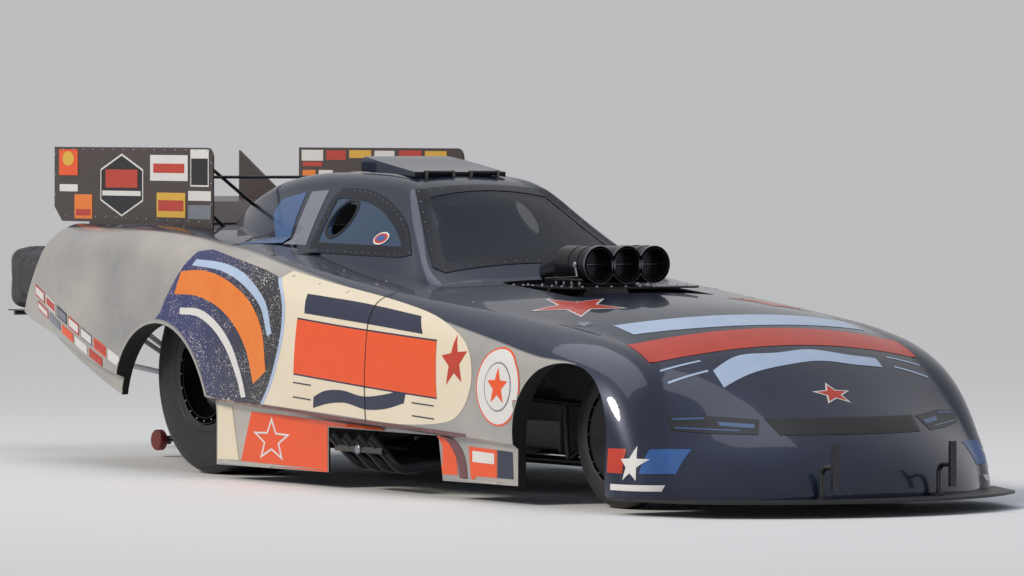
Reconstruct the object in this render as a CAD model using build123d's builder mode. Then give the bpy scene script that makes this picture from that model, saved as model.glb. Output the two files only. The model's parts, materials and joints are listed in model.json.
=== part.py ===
from build123d import *
from collections import namedtuple
from math import cos, radians, sin
import os

# Drag racing car: a tube chassis under a one-piece flip-up body.
# Lengths are in millimetres. X runs forward, Y to the car's left, Z up from the ground.
# The origin is on the ground, at the middle of the overall length and width.

# Overall layout
wheelbase = 3175
front_overhang = 1065
rear_overhang = 2450
overall_length = wheelbase + front_overhang + rear_overhang
rear_axle_x = rear_overhang - overall_length / 2
front_axle_x = rear_axle_x + wheelbase

# Tyres and rims
rear_tyre_radius = 450
rear_tyre_width = 440
rear_tyre_y = 590
rear_axle_z = rear_tyre_radius
rear_rim_radius = 222
front_tyre_radius = 302
front_tyre_width = 120
front_tyre_y = 645
front_axle_z = front_tyre_radius
front_rim_radius = 205
rim_wall = 8

# Body wall and clearances
body_wall = 10
arch_lip_depth = 45
arch_lip_wall = 10
window_clearance = 0.4
hatch_clearance = 5
running_clearance = 0.05
seat_clearance = 0.3
ledge_drop = 18

# Body flip pivot, behind the rear axle
flip_pivot_x = rear_axle_x - 1180
flip_pivot_z = 540
flip_pin_radius = 14
flip_pin_half_length = 340

# Engine
engine_rear_x = rear_axle_x + 1440
engine_length = 670
crank_z = 330

# Chassis tubes
rail_radius = 20
cage_radius = 19
brace_radius = 13

os.makedirs("parts", exist_ok=True)


def save(part, name):
    part.label = name
    export_step(part, f"parts/{name}.step")


def tube(points, radius, bend=0):
    """A round tube along straight runs, with tangent bends where a bend radius is given."""
    with BuildLine() as route:
        if bend and len(points) > 2:
            FilletPolyline(*points, radius=bend)
        else:
            Polyline(*points)
    with BuildSketch(Plane(origin=route.line @ 0, z_dir=route.line % 0)) as section:
        Circle(radius)
    sweep(section.sketch, path=route.line)


# Body form
# Each station is a section plane across the body. Lean tips the plane's top forward, in degrees.
# Heights run up the plane from the ground, half widths run out from the centreline.
Station = namedtuple(
    "Station", "x lean crown shoulder_y shoulder_h side_y side_h ledge_y ledge_h foot_y"
)
body_stations = [
    Station(rear_axle_x - 1720, 0, 1122, 690, 1100, 832, 930, 812, 690, 780),
    Station(rear_axle_x - 1200, 0, 1136, 755, 1122, 898, 955, 905, 600, 860),
    Station(rear_axle_x - 700, 0, 1141, 800, 1128, 945, 965, 965, 480, 920),
    Station(rear_axle_x - 200, 0, 1130, 818, 1116, 966, 955, 984, 400, 934),
    Station(rear_axle_x + 300, 0, 1085, 822, 1054, 972, 890, 986, 368, 934),
    Station(rear_axle_x + 900, 0, 1008, 824, 966, 972, 805, 985, 336, 932),
    Station(rear_axle_x + 1500, 0, 944, 818, 894, 970, 745, 982, 308, 932),
    Station(front_axle_x - 1075, 0, 898, 795, 832, 966, 690, 976, 288, 932),
    Station(front_axle_x - 475, 0, 850, 745, 772, 960, 610, 964, 262, 934),
    Station(front_axle_x - 65, 0, 796, 695, 712, 954, 555, 956, 230, 940),
    Station(front_axle_x + 115, 18, 690, 690, 590, 930, 425, 946, 190, 942),
    Station(front_axle_x + 225, 42, 598, 790, 368, 932, 215, 944, 110, 942),
    Station(front_axle_x + 275, 66, 625, 800, 288, 932, 120, 943, 60, 941),
    Station(front_axle_x + 305, 90, 590, 800, 245, 930, 92, 940, 45, 938),
]

# Greenhouse sections, all upright. The foot is sunk below the deck.
Roofline = namedtuple("Roofline", "x crown shoulder_y shoulder_h side_y side_h foot_y")
greenhouse_foot_z = 800
greenhouse_stations = [
    Roofline(rear_axle_x - 640, 1118, 300, 1108, 440, 1060, 560),
    Roofline(rear_axle_x - 340, 1238, 270, 1222, 410, 1160, 640),
    Roofline(rear_axle_x - 80, 1348, 270, 1328, 420, 1256, 700),
    Roofline(rear_axle_x + 180, 1386, 265, 1368, 415, 1298, 735),
    Roofline(rear_axle_x + 520, 1392, 262, 1376, 402, 1314, 745),
    Roofline(rear_axle_x + 880, 1374, 265, 1358, 392, 1302, 735),
    Roofline(rear_axle_x + 1060, 1332, 300, 1314, 402, 1270, 720),
    Roofline(rear_axle_x + 1200, 1268, 370, 1216, 470, 1160, 705),
    Roofline(rear_axle_x + 1345, 1168, 445, 1106, 545, 1045, 690),
    Roofline(rear_axle_x + 1500, 1060, 530, 1000, 615, 950, 675),
    Roofline(rear_axle_x + 1620, 976, 570, 935, 640, 895, 665),
    Roofline(rear_axle_x + 1740, 890, 600, 868, 650, 850, 660),
]

shoulder_roundness = 0.17
side_roundness = 0.03
below_ground = -40
centre_overrun = 40


def between(a, b, rise):
    """The middle point of an arc from a to b that bulges outward by rise times the chord."""
    run, climb = b[0] - a[0], b[1] - a[1]
    return ((a[0] + b[0]) / 2 - climb * rise, (a[1] + b[1]) / 2 + run * rise)


def section_plane(x, lean=0):
    tilt = radians(lean)
    return Plane(origin=(x, 0, 0), x_dir=(0, 1, 0), z_dir=(cos(tilt), 0, -sin(tilt)))


def body_section(station, inset):
    """The left half of a lower body section, inside the outer face by the inset."""
    crown = (0, station.crown - inset)
    shoulder = (station.shoulder_y - 0.4 * inset, station.shoulder_h - inset)
    side = (station.side_y - inset, station.side_h - 0.4 * inset)
    ledge = (station.ledge_y - inset, station.ledge_h + inset)
    foot_y = station.foot_y - inset
    centre_y = -centre_overrun - inset
    with BuildSketch(section_plane(station.x, station.lean)) as section:
        with BuildLine():
            TangentArc(crown, shoulder, tangent=(1, 0))
            ThreePointArc(shoulder, between(shoulder, side, shoulder_roundness), side)
            ThreePointArc(side, between(side, ledge, side_roundness), ledge)
            Polyline(
                ledge, (foot_y, ledge[1] - ledge_drop), (foot_y, below_ground - inset),
                (centre_y, below_ground - inset), (centre_y, crown[1]), crown,
            )
        make_face()
    return section.sketch


def greenhouse_section(station, inset):
    """The left half of a greenhouse section, inside the outer face by the inset."""
    crown = (0, station.crown - inset)
    shoulder = (station.shoulder_y - 0.5 * inset, station.shoulder_h - inset)
    side = (station.side_y - 1.1 * inset, station.side_h - 0.7 * inset)
    foot = (station.foot_y - 1.3 * inset, greenhouse_foot_z - 2 * inset)
    centre_y = -centre_overrun / 2 - inset
    with BuildSketch(section_plane(station.x)) as section:
        with BuildLine():
            TangentArc(crown, shoulder, tangent=(1, 0))
            ThreePointArc(shoulder, between(shoulder, side, shoulder_roundness), side)
            ThreePointArc(side, between(side, foot, side_roundness), foot)
            Polyline(foot, (centre_y, foot[1]), (centre_y, crown[1]), crown)
        make_face()
    return section.sketch


def body_form(inset):
    """The left half of the lower body as a solid, inside the outer face by the inset."""
    with BuildPart() as form:
        loft([body_section(station, inset) for station in body_stations])
    return form.part


def greenhouse_form(inset):
    """The left half of the greenhouse as a solid, inside the outer face by the inset."""
    with BuildPart() as form:
        loft([greenhouse_section(station, inset) for station in greenhouse_stations])
    return form.part


# Openings in the body
underside_z = 62
nose_clearance_z = 70
splitter_rear_x = front_axle_x + 285
rear_arch_x = rear_axle_x - 110
rear_arch_z = 248
rear_arch_radius = 440
front_arch_x = front_axle_x - 50
front_arch_z = 280
front_arch_radius = 328
tail_top_x = rear_axle_x - 1265
tail_foot_x = rear_axle_x - 1650
tail_top_z = 1150
tail_foot_z = 700
quarter_foot_z = 345
body_half_width = 1000
cabin_seam_x = rear_axle_x + 1670
side_seam_y = 770
side_margin = 60

# The header notch in the rocker, under the ledge and open at its foot
notch_rear_x = rear_axle_x + 1285
notch_front_x = rear_axle_x + 2175
notch_high_z = 268
notch_depth_y = 860

# Injector opening in the hood
hood_opening_rear_x = rear_axle_x + 1785
hood_opening_front_x = rear_axle_x + 2400
hood_opening_y = 375

# Windows and hatch, seen from above or from the side
windscreen_top_x = rear_axle_x + 1100
windscreen_top_y = 330
windscreen_foot_x = rear_axle_x + 1575
windscreen_foot_y = 540
side_window_rear_x = rear_axle_x + 600
side_window_front_x = rear_axle_x + 1330
side_window_low_z = 1045
side_window_high_z = 1282
port_radius = 75
port_x = rear_axle_x + 710
port_z = 1175
hatch_rear_x = rear_axle_x + 455
hatch_front_x = rear_axle_x + 905
hatch_y = 245
hatch_lap = 22


def side_view(points):
    """A closed outline in the side view."""
    with BuildSketch(Plane.XZ) as outline:
        with BuildLine():
            Polyline(*points, close=True)
        make_face()
    return outline.sketch


def arch_outline(arch_x, arch_z, radius):
    """A wheel arch in the side view: half a circle on straight jambs down to the ground."""
    jamb_foot_z = -200
    with BuildSketch(Plane.XZ) as arch:
        with Locations((arch_x, arch_z)):
            Circle(radius)
        with Locations((arch_x, (arch_z + jamb_foot_z) / 2)):
            Rectangle(2 * radius, arch_z - jamb_foot_z)
    return arch.sketch


def windscreen_outline(clearance):
    """The windscreen in the plan view."""
    with BuildSketch(Plane.XY.offset(900)) as outline:
        with BuildLine():
            Polyline(
                (windscreen_top_x, windscreen_top_y), (windscreen_foot_x, windscreen_foot_y),
                (windscreen_foot_x, -windscreen_foot_y), (windscreen_top_x, -windscreen_top_y),
                close=True,
            )
        make_face()
        fillet(outline.vertices(), 45)
        offset(amount=-clearance)
    return outline.sketch


def side_window_outline(clearance):
    """A side window in the side view: upright at the rear, round at the front."""
    low_rear = (side_window_rear_x + 15, side_window_low_z)
    low_front = (side_window_front_x, side_window_low_z - 12)
    high_rear = (side_window_rear_x - 55, side_window_high_z)
    brow = (
        side_window_rear_x + 0.55 * (side_window_front_x - side_window_rear_x),
        side_window_low_z + 0.76 * (side_window_high_z - side_window_low_z),
    )
    with BuildSketch(Plane.XZ) as outline:
        with BuildLine():
            Polyline(high_rear, low_rear, low_front)
            ThreePointArc(low_front, brow, high_rear)
        make_face()
        fillet(outline.vertices(), 22)
        offset(amount=-clearance)
    return outline.sketch


side_run = body_half_width + side_margin
rear_arch = arch_outline(rear_arch_x, rear_arch_z, rear_arch_radius)
front_arch = arch_outline(front_arch_x, front_arch_z, front_arch_radius)
rear_arch_foot_x = rear_arch_x - rear_arch_radius + 12

with BuildPart() as arch_lips:
    # Each arch is lined with a return flange, left standing when the body is hollowed
    with BuildSketch(Plane.XZ.offset(-body_half_width + arch_lip_depth + side_margin)):
        add(arch_outline(rear_arch_x, rear_arch_z, rear_arch_radius + arch_lip_wall))
        add(arch_outline(front_arch_x, front_arch_z, front_arch_radius + arch_lip_wall))
    extrude(amount=-arch_lip_depth - 2 * side_margin)

with BuildPart() as hollow:
    add(body_form(body_wall))
    add(greenhouse_form(body_wall))
    add(arch_lips.part, mode=Mode.SUBTRACT)

with BuildPart() as whole_shell:
    add(body_form(0))
    add(greenhouse_form(0))
    # The underside steps up from the rocker to the tail
    extrude(
        side_view([
            (front_axle_x + 1200, -200), (front_axle_x + 1200, nose_clearance_z),
            (splitter_rear_x, nose_clearance_z), (front_axle_x - 300, nose_clearance_z + 12),
            (rear_arch_x + rear_arch_radius, underside_z), (rear_arch_x, underside_z),
            (rear_arch_foot_x, quarter_foot_z), (tail_foot_x, tail_foot_z),
            (tail_foot_x - 600, tail_foot_z + 120), (tail_foot_x - 600, -200),
        ]),
        amount=side_run, both=True, mode=Mode.SUBTRACT,
    )
    # The tail leans back towards its foot
    extrude(
        side_view([
            (tail_top_x, tail_top_z), (tail_foot_x, tail_foot_z),
            (tail_foot_x - 30, tail_foot_z - 60), (tail_foot_x - 600, tail_foot_z - 60),
            (tail_foot_x - 600, tail_top_z + 300), (tail_top_x, tail_top_z + 300),
        ]),
        amount=side_run, both=True, mode=Mode.SUBTRACT,
    )
    add(hollow.part, mode=Mode.SUBTRACT)

with BuildPart() as openings:
    # Wheel arches
    with BuildSketch(Plane.XZ.offset(-500)):
        add(rear_arch)
        add(front_arch)
    extrude(amount=-side_run + 500)
    # Header notch
    with BuildSketch(Plane.XZ.offset(-notch_depth_y)):
        with BuildLine():
            Polyline(
                (notch_rear_x, -200), (notch_rear_x, notch_high_z), (notch_front_x, notch_high_z),
                (notch_front_x + 90, -200), close=True,
            )
        make_face()
    extrude(amount=-side_run + notch_depth_y)
    # Injector opening
    with BuildSketch(Plane.XY.offset(700)):
        with Locations(((hood_opening_rear_x + hood_opening_front_x) / 2, 0)):
            RectangleRounded(hood_opening_front_x - hood_opening_rear_x, 2 * hood_opening_y, 60)
    extrude(amount=400)
    extrude(windscreen_outline(0), amount=600)
    extrude(side_window_outline(0), amount=-side_run)
    # Hatch opening
    with BuildSketch(Plane.XY.offset(1250)):
        with Locations(((hatch_rear_x + hatch_front_x) / 2, 0)):
            RectangleRounded(
                hatch_front_x - hatch_rear_x - 2 * hatch_lap, 2 * (hatch_y - hatch_lap), 25
            )
    extrude(amount=300)

with BuildPart() as cut_shell:
    add(whole_shell.part)
    add(openings.part, mode=Mode.SUBTRACT)

# The shell is split at the cowl seam and along the side seams
ShellPiece = namedtuple("ShellPiece", "name low_x high_x low_y high_y")
far_end = overall_length
for piece in [
    ShellPiece("front_clip", cabin_seam_x, far_end, 0, far_end),
    ShellPiece("cabin_shell", -far_end, cabin_seam_x, 0, side_seam_y),
    ShellPiece("side_panel", -far_end, cabin_seam_x, side_seam_y, far_end),
]:
    with BuildPart() as shell_half:
        add(cut_shell.part)
        with Locations(((piece.low_x + piece.high_x) / 2, (piece.low_y + piece.high_y) / 2, 800)):
            Box(piece.high_x - piece.low_x, piece.high_y - piece.low_y, 2400, mode=Mode.INTERSECT)
    left_half = shell_half.part
    right_half = left_half.mirror(Plane.XZ)
    if piece.name == "side_panel":
        save(left_half, "side_panel_left")
        save(right_half, "side_panel_right")
    else:
        with BuildPart() as shell_piece:
            add(left_half)
            add(right_half)
        save(shell_piece.part, piece.name)

# Panes fill their openings with a small clearance all round
with BuildPart() as windscreen_half:
    add(whole_shell.part)
    add(extrude(windscreen_outline(window_clearance), amount=600, mode=Mode.PRIVATE),
        mode=Mode.INTERSECT)
    with Locations((cabin_seam_x, -500, 1000)):
        Box(2000, 1000, 2000, mode=Mode.SUBTRACT)
with BuildPart() as windscreen:
    add(windscreen_half.part)
    mirror(windscreen_half.part, about=Plane.XZ)
save(windscreen.part, "windscreen")

with BuildPart() as side_window:
    add(whole_shell.part)
    add(extrude(side_window_outline(window_clearance), amount=-side_run, mode=Mode.PRIVATE),
        mode=Mode.INTERSECT)
    with BuildSketch(Plane.XZ):
        with Locations((port_x, port_z)):
            Circle(port_radius)
    extrude(amount=-side_run, mode=Mode.SUBTRACT)
    with Locations((port_x, 0, port_z)):
        Box(2000, 400, 2000, mode=Mode.SUBTRACT)
with BuildPart() as side_windows:
    add(side_window.part)
    mirror(side_window.part, about=Plane.XZ)
save(side_windows.part, "side_windows")

# Forms just clear of the body, which trim what seats on it or in it
seated_outside = body_form(-seat_clearance)
seated_on_roof = greenhouse_form(-seat_clearance)
seated_inside = body_form(body_wall + seat_clearance)

# Splitter: a thin floor under the nose that runs out ahead of it
splitter_thickness = 12
splitter_corner_x = front_axle_x + 755
splitter_corner_y = 815
splitter_flank_x = front_axle_x + 440
splitter_flank_y = 952
with BuildPart() as splitter:
    with BuildSketch(Plane.XY.offset(nose_clearance_z - splitter_thickness)):
        with BuildLine():
            Polyline(
                (splitter_corner_x, -splitter_corner_y), (splitter_flank_x, -splitter_flank_y),
                (splitter_rear_x, -splitter_flank_y + 12), (splitter_rear_x, splitter_flank_y - 12),
                (splitter_flank_x, splitter_flank_y), (splitter_corner_x, splitter_corner_y),
            )
            ThreePointArc(
                (splitter_corner_x, splitter_corner_y), (front_axle_x + front_overhang, 0),
                (splitter_corner_x, -splitter_corner_y),
            )
        make_face()
    extrude(amount=splitter_thickness)
save(splitter.part, "splitter")

# Nose bars: two upright bars on bent tubes from the splitter
bar_x = front_axle_x + 995
bar_y = 300
bar_foot_x = front_axle_x + 905
bar_low_z = 112
bar_high_z = 300
with BuildPart() as nose_bars:
    for side in (-1, 1):
        with Locations((bar_x, side * bar_y, (bar_low_z + bar_high_z) / 2)):
            Box(16, 30, bar_high_z - bar_low_z)
        tube(
            [(bar_x - 4, side * bar_y, 205), (bar_foot_x, side * bar_y, 200),
             (bar_foot_x, side * bar_y, nose_clearance_z)],
            11, bend=35,
        )
        with Locations((bar_foot_x, side * bar_y, nose_clearance_z + 4)):
            Cylinder(24, 8)
save(nose_bars.part, "nose_bars")

# Rear spoiler: a ramp from the deck that runs level past the tail
plate_y = 686
plate_thickness = 8
plate_rear_x = rear_axle_x - 1602
plate_front_x = rear_axle_x - 121
plate_top_z = 1490
plate_foot_z = 1136
spoiler_z = 1238
spoiler_thickness = 12
spoiler_half_width = plate_y - plate_thickness / 2 - seat_clearance
with BuildPart() as spoiler_half:
    extrude(
        side_view([
            (rear_axle_x - 400, 1100), (rear_axle_x - 400, 1142), (rear_axle_x - 590, spoiler_z),
            (plate_rear_x + 12, spoiler_z + 14), (plate_rear_x + 12, spoiler_z),
            (rear_axle_x - 600, spoiler_z - spoiler_thickness), (rear_axle_x - 440, 1128),
            (rear_axle_x - 440, 1100),
        ]),
        amount=-spoiler_half_width,
    )
    add(seated_outside, mode=Mode.SUBTRACT)
    add(seated_on_roof, mode=Mode.SUBTRACT)
spoiler_solid = spoiler_half.part.solids().sort_by(SortBy.VOLUME)[-1]
with BuildPart() as rear_spoiler:
    add(spoiler_solid)
    mirror(spoiler_solid, about=Plane.XZ)
save(rear_spoiler.part, "rear_spoiler")

with BuildPart() as spoiler_plate:
    with BuildSketch(Plane.XZ.offset(-plate_y - plate_thickness / 2)) as plate_outline:
        with BuildLine():
            Polyline(
                (plate_rear_x, plate_top_z), (plate_front_x, plate_top_z), (plate_front_x, 1000),
                (tail_top_x, 1000), (tail_top_x, plate_foot_z), (plate_rear_x + 75, plate_foot_z),
                (plate_rear_x, 1205), close=True,
            )
        make_face()
        fillet(plate_outline.vertices().group_by(Axis.X)[-1].sort_by(Axis.Y)[-1], 50)
    extrude(amount=plate_thickness)
    add(seated_outside, mode=Mode.SUBTRACT)
plate_solid = spoiler_plate.part.solids().sort_by(SortBy.VOLUME)[-1]
with BuildPart() as spoiler_plates:
    add(plate_solid)
    mirror(plate_solid, about=Plane.XZ)
save(spoiler_plates.part, "spoiler_plates")

with BuildPart() as centre_fin:
    fin_rear_x = rear_axle_x - 1030
    fin_front_x = rear_axle_x - 600
    with BuildSketch(Plane.XZ.offset(-plate_thickness / 2)):
        with BuildLine():
            Polyline(
                (fin_rear_x, spoiler_z + 7), (fin_rear_x, plate_top_z - 12),
                (fin_front_x, spoiler_z + 18), (fin_front_x, spoiler_z + 0.5), close=True,
            )
        make_face()
    extrude(amount=plate_thickness)
save(centre_fin.part, "centre_fin")

# Stays from the plates down to the deck, and a rod across between the plates
with BuildPart() as stays_half:
    tube([(plate_front_x - 30, 740, 1440), (rear_axle_x - 250, 300, 1160)], 8)
    tube([(plate_front_x - 30, 740, 1235), (rear_axle_x - 290, 500, 1100)], 8)
    with Locations((rear_axle_x, plate_y + 98, 1300)):
        Box(2000, 200 + 2 * seat_clearance + plate_thickness - 4, 800, mode=Mode.SUBTRACT)
    add(seated_outside, mode=Mode.SUBTRACT)
    add(seated_on_roof, mode=Mode.SUBTRACT)
with BuildPart() as spoiler_stays:
    add(stays_half.part)
    mirror(stays_half.part, about=Plane.XZ)
    tube([(plate_front_x - 50, -spoiler_half_width, 1355),
          (plate_front_x - 50, spoiler_half_width, 1355)], 7)
save(spoiler_stays.part, "spoiler_stays")

# Braces that carry the body on its flip pivot
with BuildPart() as braces_half:
    with Locations((flip_pivot_x, flip_pin_half_length / 2, flip_pivot_z)):
        Cylinder(flip_pin_radius, flip_pin_half_length, rotation=(90, 0, 0))
    brace_foot = (flip_pivot_x, flip_pin_half_length - 12, flip_pivot_z)
    tube([brace_foot, (flip_pivot_x + 60, 1000, 960)], brace_radius)
    tube([brace_foot, (rear_axle_x - 560, 1010, 780)], brace_radius)
    tube([brace_foot, (rear_axle_x - 830, 420, 1200)], brace_radius)
    add(seated_inside, mode=Mode.INTERSECT)
    with Locations((rear_axle_x, -500, 800)):
        Box(2 * overall_length, 1000, 2000, mode=Mode.SUBTRACT)
with BuildPart() as body_braces:
    add(braces_half.part)
    mirror(braces_half.part, about=Plane.XZ)
save(body_braces.part, "body_braces")



def at(forward, y, z):
    """A point measured forward from the rear axle."""
    return (rear_axle_x + forward, y, z)


def both_sides(*points):
    """The same run of points on the left and on the right of the car."""
    return [list(points), [(x, -y, z) for x, y, z in points]]


# Roof hatch: a wedge that opens rearward, hinged along its front edge
hatch_wall = 6
hatch_rear_z = 1455
hatch_front_z = 1386
hinge_pin_radius = 4
hinge_barrel_radius = 8
hinge_x = hatch_front_x + 12
hinge_z = 1384
hinge_inner_y = 60
hinge_outer_y = 180


def hatch_profile(wall):
    """The hatch in the side view. The inner outline runs on out of the open rear."""
    rear_x = hatch_rear_x - 4 * wall
    return side_view([
        (rear_x, 1300), (rear_x, hatch_rear_z - wall), (hatch_rear_x + 1, hatch_rear_z - wall),
        (hatch_front_x - wall, hatch_front_z - wall), (hatch_front_x - wall, 1300),
    ])


with BuildPart() as hatch_half:
    extrude(hatch_profile(0), amount=-hatch_y)
    fillet(hatch_half.edges().group_by(Axis.Y)[-1].group_by(Axis.Z)[-1], 30)
    extrude(hatch_profile(hatch_wall), amount=-hatch_y + hatch_wall, mode=Mode.SUBTRACT)
    add(greenhouse_form(-hatch_clearance), mode=Mode.SUBTRACT)
hatch_solid = hatch_half.part.solids().sort_by(SortBy.VOLUME)[-1]
with BuildPart() as roof_hatch:
    add(hatch_solid)
    mirror(hatch_solid, about=Plane.XZ)
    for side in (-1, 1):
        with Locations((hinge_x, side * (hinge_inner_y + hinge_outer_y) / 2, hinge_z)):
            Cylinder(hinge_barrel_radius, hinge_outer_y - hinge_inner_y, rotation=(90, 0, 0))
            with Locations((-hinge_barrel_radius, 0, -2)):
                Box(2 * hinge_barrel_radius, hinge_outer_y - hinge_inner_y, 8)
            Cylinder(hinge_pin_radius + running_clearance, 2 * hinge_outer_y,
                     rotation=(90, 0, 0), mode=Mode.SUBTRACT)
save(roof_hatch.part, "roof_hatch")

ear_width = 14
with BuildPart() as hinge_half:
    for leaf_y in (hinge_inner_y - hatch_clearance - ear_width / 2,
                   hinge_outer_y + hatch_clearance + ear_width / 2):
        with Locations((hinge_x, leaf_y, hinge_z - 10)):
            Box(2 * hinge_barrel_radius, ear_width, 36)
    with Locations((hinge_x, (hinge_inner_y + hinge_outer_y) / 2, hinge_z)):
        Cylinder(hinge_pin_radius, hinge_outer_y - hinge_inner_y + 4 * hatch_clearance,
                 rotation=(90, 0, 0))
    add(seated_on_roof, mode=Mode.SUBTRACT)
with BuildPart() as hatch_hinge:
    add(hinge_half.part)
    mirror(hinge_half.part, about=Plane.XZ)
save(hatch_hinge.part, "hatch_hinge")

# Chassis frame
rail_z = 140
rail_y = 270
frame_rear_x = -300
housing_radius = 45
housing_half_length = 335
axle_plate_y = rail_y
axle_plate_thickness = 12
nose_rail_x = wheelbase + 120
upper_rail_radius = 16
ear_y = 288
ear_thickness = 16
tank_rear_x = 2650
tank_front_x = 2950
tank_bearer_z = rail_z + 8
tow_tab_x = frame_rear_x - 40
tow_bore_radius = 11
with BuildPart() as chassis_frame:
    for route in both_sides(
        at(frame_rear_x, rail_y, rail_z + 30), at(0, rail_y, rail_z), at(2400, 235, rail_z),
        at(nose_rail_x, 190, rail_z + 15),
    ):
        tube(route, rail_radius)
    for route in both_sides(
        at(frame_rear_x, rail_y, 600), at(900, rail_y, 560), at(1340, rail_y, 420),
        at(2150, 262, 400), at(2600, 240, 380), at(nose_rail_x, 190, 345),
    ):
        tube(route, upper_rail_radius)
    # Uprights and diagonals between the rails
    for low, high in [
        (at(frame_rear_x, rail_y, rail_z + 30), at(frame_rear_x, rail_y, 600)),
        (at(560, rail_y - 8, rail_z), at(560, rail_y, 575)),
        (at(560, rail_y - 8, rail_z), at(900, rail_y, 560)),
        (at(1240, rail_y - 18, rail_z), at(1240, rail_y, 452)),
        (at(2150, 242, rail_z), at(2150, 262, 400)),
        (at(2150, 242, rail_z), at(2600, 240, 380)),
        (at(nose_rail_x - 300, 207, rail_z + 8), at(2600, 240, 380)),
        (at(nose_rail_x - 300, 207, rail_z + 8), at(nose_rail_x - 300, 213, 360)),
        (at(nose_rail_x, 190, rail_z + 15), at(nose_rail_x, 190, 345)),
    ]:
        for route in both_sides(low, high):
            tube(route, upper_rail_radius - 2)
    # Cross members
    for forward, half_width, height in [
        (frame_rear_x, rail_y, rail_z + 30), (frame_rear_x, rail_y, 600),
        (560, rail_y - 8, rail_z), (1240, rail_y - 18, rail_z), (2150, 242, rail_z),
        (tank_rear_x + 60, 226, tank_bearer_z), (tank_front_x - 60, 214, tank_bearer_z),
        (nose_rail_x, 190, rail_z + 15), (nose_rail_x, 190, 345), (1150, rail_y, 481),
    ]:
        tube([at(forward, -half_width, height), at(forward, half_width, height)],
             upper_rail_radius)
    # Plates that carry the rear axle housing
    for side in (-1, 1):
        with Locations((rear_axle_x, side * axle_plate_y, 370)):
            Box(150, axle_plate_thickness, 470)
    # Ears that carry the body pivot
    for route in both_sides(
        at(frame_rear_x, rail_y, 600), (flip_pivot_x, ear_y, flip_pivot_z),
    ):
        tube(route, upper_rail_radius - 2)
    for route in both_sides(
        at(frame_rear_x, rail_y, rail_z + 30), at(frame_rear_x - 600, 282, 553),
    ):
        tube(route, upper_rail_radius - 3)
    for side in (-1, 1):
        with Locations((flip_pivot_x, side * ear_y, flip_pivot_z)):
            Cylinder(flip_pin_radius + 16, ear_thickness, rotation=(90, 0, 0))
            Cylinder(flip_pin_radius + running_clearance, 3 * ear_thickness,
                     rotation=(90, 0, 0), mode=Mode.SUBTRACT)
        with Locations((rear_axle_x, side * axle_plate_y, rear_axle_z)):
            Cylinder(housing_radius + seat_clearance, 60, rotation=(90, 0, 0),
                     mode=Mode.SUBTRACT)
    # Tow tab on the rear cross member
    with Locations(at(tow_tab_x + 8, 0, rail_z + 30)):
        Box(72, 16, 60)
    with Locations(at(tow_tab_x, 0, rail_z + 30)):
        Cylinder(tow_bore_radius, 60, rotation=(90, 0, 0), mode=Mode.SUBTRACT)
    # Steering column
    column_bore_radius = 10 + running_clearance
    column_plane = Plane(origin=at(1150, 0, 500), x_dir=(0, 1, 0), z_dir=(-0.94, 0, 0.34))
    with BuildSketch(column_plane.offset(-60)):
        Circle(column_bore_radius + 7)
    extrude(amount=240)
    with BuildSketch(column_plane.offset(-80)):
        Circle(column_bore_radius)
    extrude(amount=280, mode=Mode.SUBTRACT)
save(chassis_frame.part, "chassis_frame")

# Roll cage over the driver
with BuildPart() as roll_cage:
    hoop = [
        at(60, 265, 600 + upper_rail_radius), at(60, 300, 950), at(60, 215, 1285),
        at(60, -215, 1285), at(60, -300, 950), at(60, -265, 600 + upper_rail_radius),
    ]
    tube(hoop, cage_radius, bend=85)
    for route in both_sides(at(60, 215, 1262), at(820, 205, 1240), at(1240, 250, 720),
                            at(1290, 262, 455)):
        tube(route, cage_radius, bend=80)
    tube([at(850, -206, 1215), at(850, 206, 1215)], cage_radius)
    tube([at(60, -296, 900), at(60, 296, 900)], cage_radius)
    for route in both_sides(at(60, 210, 1240), at(frame_rear_x + 20, 262, 615)):
        tube(route, cage_radius - 2)
    add(chassis_frame.part, mode=Mode.SUBTRACT)
cage_solid = roll_cage.part.solids().sort_by(SortBy.VOLUME)[-1]
save(cage_solid, "roll_cage")

# Tail panel closing the body under the deck lip, along the slope of the tail
tail_panel_foot_z = 950
tail_slope = (tail_foot_x - tail_top_x) / (tail_top_z - tail_foot_z)
with BuildPart() as tail_panel:
    panel_foot_x = tail_top_x + tail_slope * (tail_top_z - tail_panel_foot_z)
    extrude(
        side_view([
            (tail_top_x + 4, tail_top_z), (panel_foot_x + 4, tail_panel_foot_z),
            (panel_foot_x + 14, tail_panel_foot_z), (tail_top_x + 14, tail_top_z),
        ]),
        amount=-body_half_width,
    )
    add(seated_inside, mode=Mode.INTERSECT)
    panel_half = tail_panel.part
    mirror(panel_half, about=Plane.XZ)
save(tail_panel.part, "tail_panel")

# Cockpit floor, firewall and rear bulkhead
drive_z = crank_z + 15
drive_radius = 36
with BuildPart() as floor_pan:
    pan_top_z = rail_z - rail_radius - seat_clearance
    with Locations((rear_axle_x + 620, 0, pan_top_z - 2)):
        Box(1220, 2 * rail_y + 20, 4)
    with Locations((rear_axle_x + 1217, 0, pan_top_z + 365)):
        Box(4, 440, 730)
    with Locations((rear_axle_x + 147, 0, pan_top_z + 240)):
        Box(4, 480, 480)
    with BuildSketch(Plane.YZ.offset(rear_axle_x)):
        with Locations((0, drive_z)):
            Circle(drive_radius + 24)
    extrude(amount=1300, mode=Mode.SUBTRACT)
save(floor_pan.part, "floor_pan")

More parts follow.
